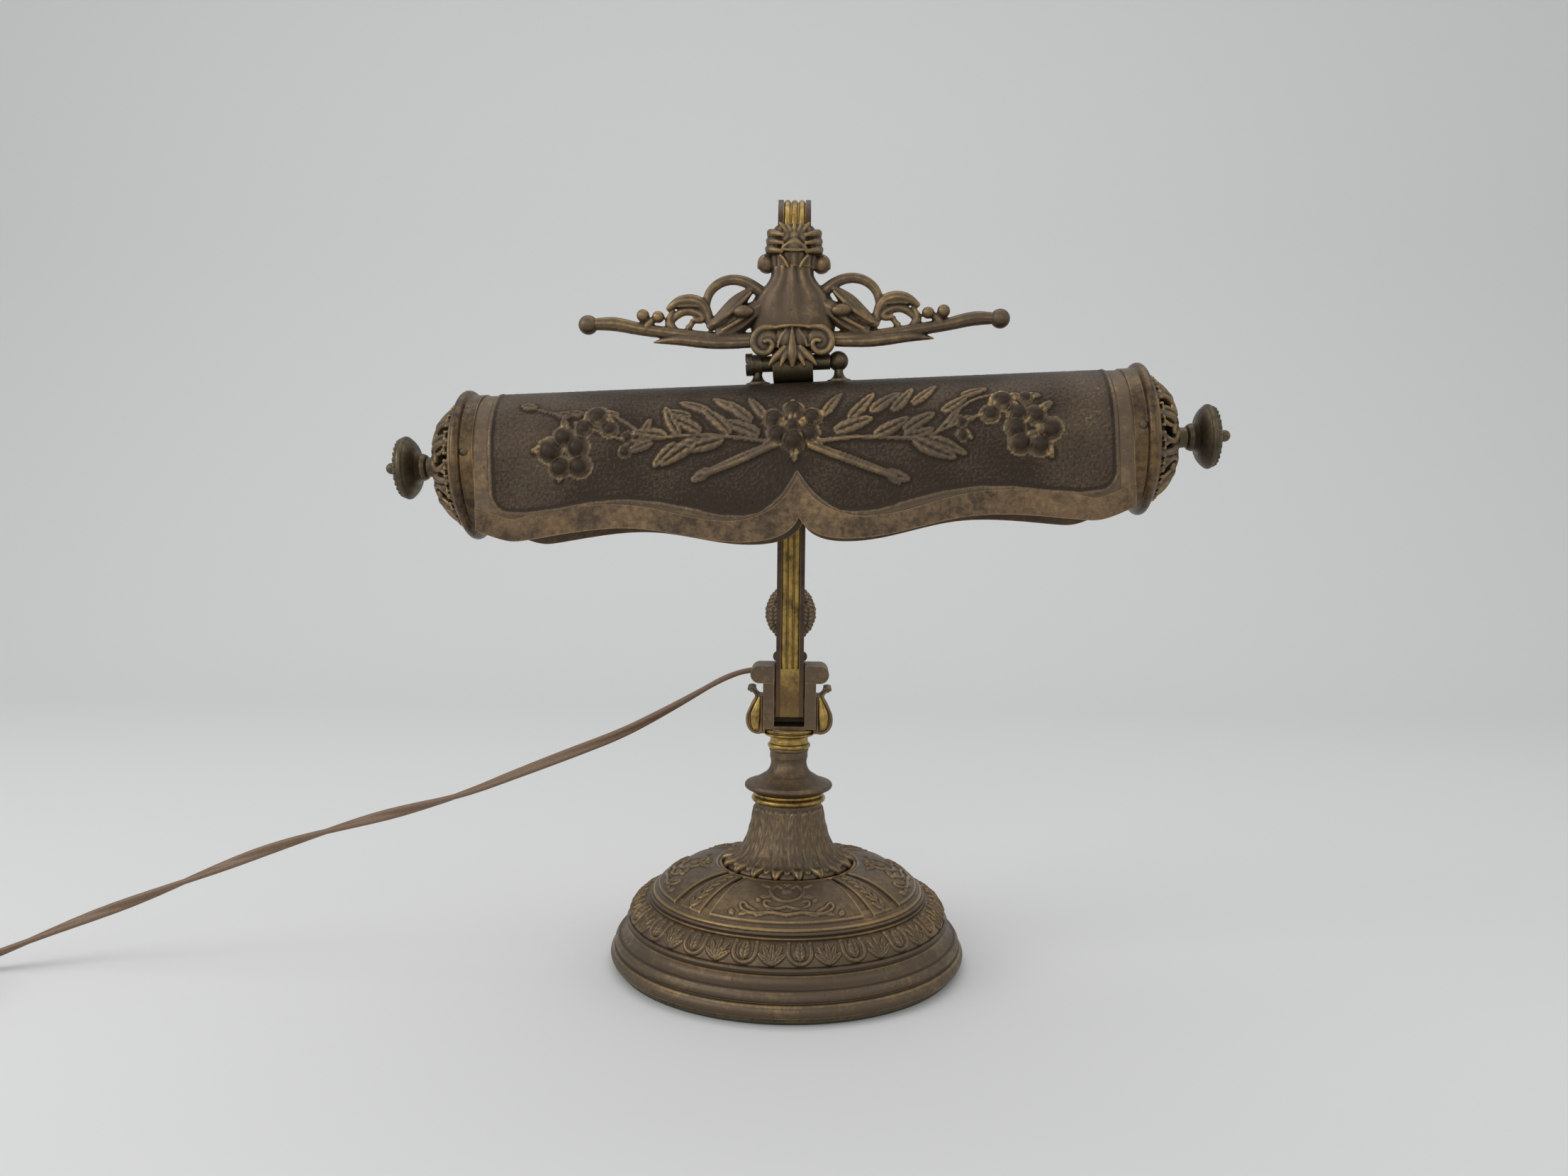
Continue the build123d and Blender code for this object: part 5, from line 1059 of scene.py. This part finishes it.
def makeBracket():
    scrolls = mirrored([
        [(85.4, 0, 11.2, 2.6), (80, 0, 11.5, 3.1), (74, 0, 10.8, 3.1), (67, -0.5, 9.0, 2.8), (60, -1, 7.8, 2.7),
         (50, -1.2, 6.4, 2.7), (40, -1.5, 4.9, 2.8), (30, -1.8, 3.6, 3.0), (20, -2, 3.4, 3.2), (10, -2, 3.6, 3.2)],
        [(60.2, -0.5, 3.0, 0.4), (54, -1.6, 3.7, 1.8), (47, -2.6, 3.5, 2.4), (38, -3.0, 2.2, 2.5),
         (28, -3.2, 1.5, 2.4), (18, -3.0, 2.0, 2.2)],
        [(49.5, -1, 6.5, 1.8), (52.8, -1, 9.6, 2.2), (53.2, -1.2, 13.2, 1.8), (51, -1.2, 16.4, 0.8)],
        [(45.4, -1.6, 8.4, 1.5), (43.0, -1.6, 10.0, 1.2), (42.6, -2.0, 12.4, 1.3)],
        [(52, -1, 11.8, 1.3), (48.8, -1, 15.6, 1.9), (43.4, -1.5, 16.4, 2.2), (38.2, -1.8, 13.8, 2.1),
         (39.2, -2.2, 11.4, 1.6), (42.8, -2.2, 12.4, 1.5)],
        [(35.0, -1.6, 9, 2.0), (36.2, -1.6, 14.5, 2.2), (38.8, -1.9, 19.2, 2.8), (44.5, -2.0, 20.6, 3.0),
         (50.4, -1.6, 19.4, 2.4), (54.0, -1.2, 16.6, 1.0)],
        [(37, -3.0, 17.2, 1.0), (43, -3.6, 18.9, 1.3), (49, -3.0, 17.8, 0.7)],
        [(37.4, -1.2, 15.5, 1.8), (37.0, -1.2, 20.6, 1.9), (34.8, -1.2, 25.0, 2.1), (30.8, -1.2, 28.0, 2.2),
         (26, -1.2, 29.2, 2.3), (20.6, -1.0, 28.4, 2.4), (15.4, -0.6, 25.4, 2.6), (10.5, 0, 21, 3)],
        [(36.4, -1.8, 8.6, 1.6), (31.8, -2.4, 11.0, 3.2), (27, -2.8, 15.2, 3.9), (22.4, -2.6, 20.4, 3.5),
         (16.8, -1.8, 25.2, 1.2)],
        [(32, -1.4, 5.5, 3.0), (25, -1.8, 9, 4.4), (19, -1.8, 14, 5.0), (12, -1, 19, 3)],
        [(34, -4.0, 9.6, 0.8), (28, -5.8, 13.0, 1.2), (22.0, -6.0, 18.2, 1.2), (17.4, -4.4, 23.2, 0.7)],
        [(30, -4.4, 7.2, 0.8), (24.4, -6.0, 9.6, 1.2), (18.6, -6.4, 13.4, 1.0)],
        [(63, -1.4, 8, 2.0), (62.4, -1.6, 11.6, 1.8), (58.6, -1.8, 13.0, 1.5)],
    ])
    knobs = [(side * x, y, z, rx, ry, rz) for side in (-1, 1) for x, y, z, rx, ry, rz in [
        (20.7, -6.8, 14.6, 4.4, 2.6, 2.7), (57.6, -2.4, 13.6, 2.7, 2.5, 2.6), (64.2, -2.0, 14.3, 2.8, 2.6, 2.8),
        (85.8, 0, 11.2, 2.0, 2.0, 2.0)]]
    bell = shapedTube(96, 28, bellShape)
    castPiece("scrollBracket", "arm", [strokeMesh(scrolls), lumpMesh(knobs), bell], bracket["voxel"], bracketFrame(),
              stands=["bracket"])


def makePalmette():
    volutes = mirrored([
        [(6, -8.0, 7.4, 1.1), (11, -8.2, 8.2, 1.4), (15.6, -8.2, 5.8, 1.6), (17.2, -8.2, 1.2, 1.6),
         (14.8, -8.2, -2.8, 1.6), (10.4, -8.6, -3.4, 1.5), (8.0, -9.0, -0.2, 1.3), (9.8, -9.4, 2.6, 1.1),
         (12.2, -9.6, 1.2, 1.0)],
        [(2.6, -9.8, -0.6, 1.3), (5.4, -10.2, -3.6, 1.9), (8.4, -9.8, -6.6, 1.5), (10.2, -9.4, -8.8, 0.5)],
        [(1.4, -10.4, -2, 1.1), (4.0, -10.8, -6.0, 1.7), (5.2, -10.4, -9.4, 0.6)],
        [(2.4, -8.6, 6.6, 0.6), (5.6, -8.8, 3.4, 0.8), (6.2, -8.8, -1.0, 0.6)],
    ])
    middle = [
        [(-7.5, -8.8, 7.4, 0.8), (0, -9.6, 9.0, 1.0), (7.5, -8.8, 7.4, 0.8)],
        [(0, -9.2, 6.6, 0.7), (0, -10.2, 2.6, 1.4), (0, -10.8, -1.6, 2.3), (0, -11.0, -5.8, 2.3),
         (0, -10.4, -9.8, 0.8)],
    ]
    bodyLumps = [(11, -6.8, 1.8, 6.2, 2.6, 5.6), (-11, -6.8, 1.8, 6.2, 2.6, 5.6), (0, -6.8, 2.4, 8.5, 2.8, 6.2),
                 (0, -8.2, -4.6, 5.0, 2.0, 4.2)]
    castPiece("shellPalmette", "arm", [strokeMesh(volutes + middle), lumpMesh(bodyLumps)], bracket["voxel"],
              bracketFrame(), stands=["palmette"])


leafCup = {  # mm
    "place": (0.0, -90.0, 333.0),
    "height": 18,
    # Half widths of the cup over its height, across and deep
    "wide": [(0, 9.2), (4, 9.4), (9, 10.6), (13, 10.8), (18, 8.0)],
    "deep": [(0, 7.6), (4, 8.0), (9, 9.2), (13, 9.4), (18, 7.2)],
    "leafRows": (6.0, 9.4, 12.8),
    "crown": (-5.0, -2.6, 0.0, 2.6, 5.0),
    "voxel": 0.4,
}


def cupShape(angle, t):
    rise = t * leafCup["height"]
    fold = 1 + 0.035 * math.cos(16 * angle)
    wide, deep = (np.interp(rise, *zip(*leafCup[key])) for key in ("wide", "deep"))
    return wide * math.sin(angle) * fold, -deep * math.cos(angle) * fold, rise


def makeLeafCup():
    # The same work on the front and on the back; way is the side
    leaves, crown, badge, rims, lumps = [], [], [], [], []
    for way in (-1, 1):
        for z in leafCup["leafRows"]:
            leaves.append([(4.5, 9.0 * way, z, 0.8), (8.4, 7.0 * way, z + 0.8, 1.6),
                           (11.2 - z * 0.1, 3.4 * way, z + 1.8, 2.0), (11.4 - z * 0.1, 0, z + 2.6, 1.8)])
        leaves.append([(6.0, -8.2 * way, 4.6, 0.8), (3.6, -9.0 * way, 2.4, 1.0), (2.4, -8.6 * way, -1.0, 0.6)])
        for reach in leafCup["crown"]:
            crown.append([(reach * 0.5, -7.6 * way, 13.6, 1.2), (reach, -8.4 * way, 16.4, 1.2),
                          (reach * 1.3, -8.0 * way, 19.2 - abs(reach) * 0.2, 0.4)])
        badge.append([(-5.0, -9.2 * way, 7.2, 0.8), (0, -10.8 * way, 12.2, 0.9), (5.0, -9.2 * way, 7.2, 0.8)])
        badge.append([(-5.2, -9.2 * way, 6.8, 0.7), (0, -10.2 * way, 6.0, 0.8), (5.2, -9.2 * way, 6.8, 0.7)])
        rims.append([(12.4, -3.2 * way, 5.2, 0.6), (15.4, -1.6 * way, 3.4, 0.8), (15.0, -1.8 * way, 0.4, 0.7)])
        lumps += [(0, -9.4 * way, 8.8, 3.4, 1.2, 2.6), (way * 11.7, 0, 2.4, 4.0, 4.0, 4.2)]
    strokes = mirrored(leaves + rims) + crown + badge
    castPiece("leafCup", "arm", [strokeMesh(strokes), lumpMesh(lumps), shapedTube(64, 12, cupShape)], leafCup["voxel"],
              Matrix.Translation(Vector(leafCup["place"]) * mm), stands=["leaf_cup"])


makeBracket()
makePalmette()
makeLeafCup()
print("bracket, palmette and leaf cup cast")


# Shade ends: openwork caps, beads on the finials' discs

caps = {  # mm
    "outer": 26.6,
    "inner": 6.0,
    "seat": 144.0,
    "depth": 12.6,
    "bulge": 4.2,
    "scrolls": 10,
    # Strokes of one scroll: its turn in degrees, then points of (share of the way to the neck, degrees, radius)
    "strokes": [
        (0, [(0.03, 0, 1.2), (0.25, 9, 1.4), (0.48, 8, 1.5), (0.62, -4, 1.4), (0.5, -11, 1.2), (0.36, -6, 1.1),
             (0.42, 0, 1.0)]),
        (18, [(0.02, 0, 1.2), (0.3, -3, 2.0), (0.58, 4, 1.8), (0.98, 0, 1.1)]),
        (0, [(0.58, 3, 1.0), (0.78, 8, 1.5), (0.99, 0, 1.0)]),
        (18, [(0.1, 6, 0.9), (0.26, 12, 1.3), (0.4, 8, 0.5)]),
        (18, [(0.1, -6, 0.9), (0.26, -12, 1.3), (0.4, -8, 0.5)]),
    ],
    "pearls": 52,
    "pearlRadius": 0.85,
    "voxel": 0.42,
    "discRadius": 11.9,
    "discRise": 17.1,
    "beads": 28,
    "beadRadius": 1.15,
    "leftDisc": 156.6,
    "rightDisc": 156.9,
}


def onCap(side, t, degrees, lift=0.0):
    # t runs from the cap's outer edge to its neck; the dome bulges between them
    swell = caps["bulge"] * 4 * t * (1 - t)
    radius = caps["outer"] + (caps["inner"] - caps["outer"]) * t + 0.47 * (swell + lift)
    reach = caps["seat"] + 1.0 + (caps["depth"] - 1.6) * t + 0.88 * (swell + lift)
    angle = math.radians(degrees)
    return side * reach, -radius * math.cos(angle), radius * math.sin(angle)


def makeCap(side, sideName):
    strokes = []
    for step in range(caps["scrolls"]):
        hand = 1 if step % 2 else -1  # every other scroll is turned over
        for turn, points in caps["strokes"]:
            centre = step * 360 / caps["scrolls"] + turn
            strokes.append([(*onCap(side, t, centre + offset * hand), radius) for t, offset, radius in points])
    for t, radius in ((0.0, 1.3), (0.97, 1.5)):
        strokes.append([(*onCap(side, t, turn), radius) for turn in range(0, 370, 10)])
    pearls = [(*onCap(side, 0.07, turn * 360 / caps["pearls"], 0.9), *[caps["pearlRadius"]] * 3)
              for turn in range(caps["pearls"])]
    matrix = Matrix((Vector(shadeX), Vector(shadeY), Vector(shadeZ))).transposed().to_4x4()
    matrix.translation = Vector(shadeCentre) * mm
    castPiece(f"openworkCap{sideName}", "shade", [strokeMesh(strokes), lumpMesh(pearls)], caps["voxel"], matrix,
              base=-0.10, stands=[f"end_cap_{sideName.lower()}"])


def beadDisc(side, sideName, seat):
    mesh = bmesh.new()
    angles = 2 * math.pi * np.arange(caps["beads"]) / caps["beads"]
    reach = np.full(caps["beads"], side * (seat + caps["discRise"]))
    for spot in onShade(reach, caps["discRadius"] * np.cos(angles), caps["discRadius"] * np.sin(angles)):
        bmesh.ops.create_icosphere(mesh, subdivisions=1, radius=caps["beadRadius"] * mm,
                                   matrix=Matrix.Translation(Vector(spot) * mm))
    data = bpy.data.meshes.new(f"finialBeads{sideName}")
    mesh.to_mesh(data)
    mesh.free()
    beads = finishMesh(f"finialBeads{sideName}", data, bronze)
    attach(beads, "switch" if sideName == "Right" else "shade")


makeCap(-1, "Left")
makeCap(1, "Right")
beadDisc(-1, "Left", caps["leftDisc"])
beadDisc(1, "Right", caps["rightDisc"])
print("shade ends made")


# Fork ears: gold panels inside dark rims; the bud behind the arm

ears = {  # mm
    "inner": 13.0,
    "base": 117.0,
    "front": -5.2,
    "collarRadius": 12.0,
    "collarLow": 115.9,
}


def makeEars():
    x, z, y = ears["inner"], ears["base"], ears["front"]
    outline = [(1.6, 0.6), (4.4, 0.2), (8.0, 3.4), (8.6, 8.8), (6.6, 13.6), (4.0, 17.6), (3.6, 20.4), (6.2, 22.4)]
    rims = mirrored([
        [(x + a, y, z + b, 0.75) for a, b in outline],
        [(x + 1.2, y, z + 0.8, 0.8), (x + 1.0, y, z + 9, 0.8), (x + 1.0, y, z + 19, 0.8)],
        [(x + 6.2, y + 0.6, z + 22.2, 1.3), (x + 6.2, y + 4, z + 22.2, 1.5), (x + 6.2, y + 10, z + 22.2, 1.3)],
    ])
    castPiece("earRims", "foot", [strokeMesh(rims)], 0.35, gain=1.5, base=-0.1)
    swelling = [(3.8, 2.0, 2.0), (4.8, 8, 3.5), (3.2, 14.5, 2.0), (2.2, 19, 1.0)]
    panels = mirrored([[(x + a, y + 0.9, z + b, radius) for a, b, radius in swelling]])
    castPiece("earPanels", "foot", [strokeMesh(panels)], 0.4, material=gilt, gain=1.0, base=0.0)


bud = {  # mm
    "half": 13.6,
    "radius": 12.6,
    "middle": 176.0,
    "behind": 29.0,
    "columns": 8,
    "rows": 6,
}


def budRelief(angle, along, radius):
    # Rows of leaves like scales, each row half a leaf on from the last
    pitch = 2 * math.pi * bud["radius"] / bud["columns"]
    x = np.mod(angle, 2 * np.pi) * bud["radius"]
    field = np.zeros_like(x)
    for row in range(bud["rows"]):
        for step in range(-1, bud["columns"] + 2):
            shift = pitch * (step + (row % 2) / 2)
            leaf(field, x, along, (shift, 1.5 + row * 6.2), 90, 10.0, pitch * 1.05, 2.3 - 0.1 * row)
    return field - 0.4


def makeBud():
    marks = np.linspace(-math.pi / 2, math.pi / 2, 9)
    outline = [(max(0.4, bud["radius"] * math.cos(mark) - 0.9), bud["middle"] + bud["half"] * math.sin(mark),
                0.5 * (index > 0)) for index, mark in enumerate(marks)]
    skin = turnedSkin("leafBud", outline, 220, 110, budRelief, patina, crestWear(2, 1.5, -0.02), lift=0.1,
                      centre=(0.0, bud["behind"]), body="arm")
    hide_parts("rear_bud")


def makeCollar():
    # Two gilt beads on the collar under the fork
    r, z = ears["collarRadius"], ears["collarLow"]
    outline = [(r, z, 0), (r, z + 1.5, 0.7), (r, z + 2.0, -0.1), (r, z + 3.3, 0.6)]
    turnedSkin("collarBeads", outline, 120, 24, plainRelief, gilt, mouldingWear([(0.8, 0.5, 0.1), (1.8, 0.3, -0.4)]),
               lift=0.15)


makeEars()
makeCollar()
makeBud()
print("fork ears and bud made")
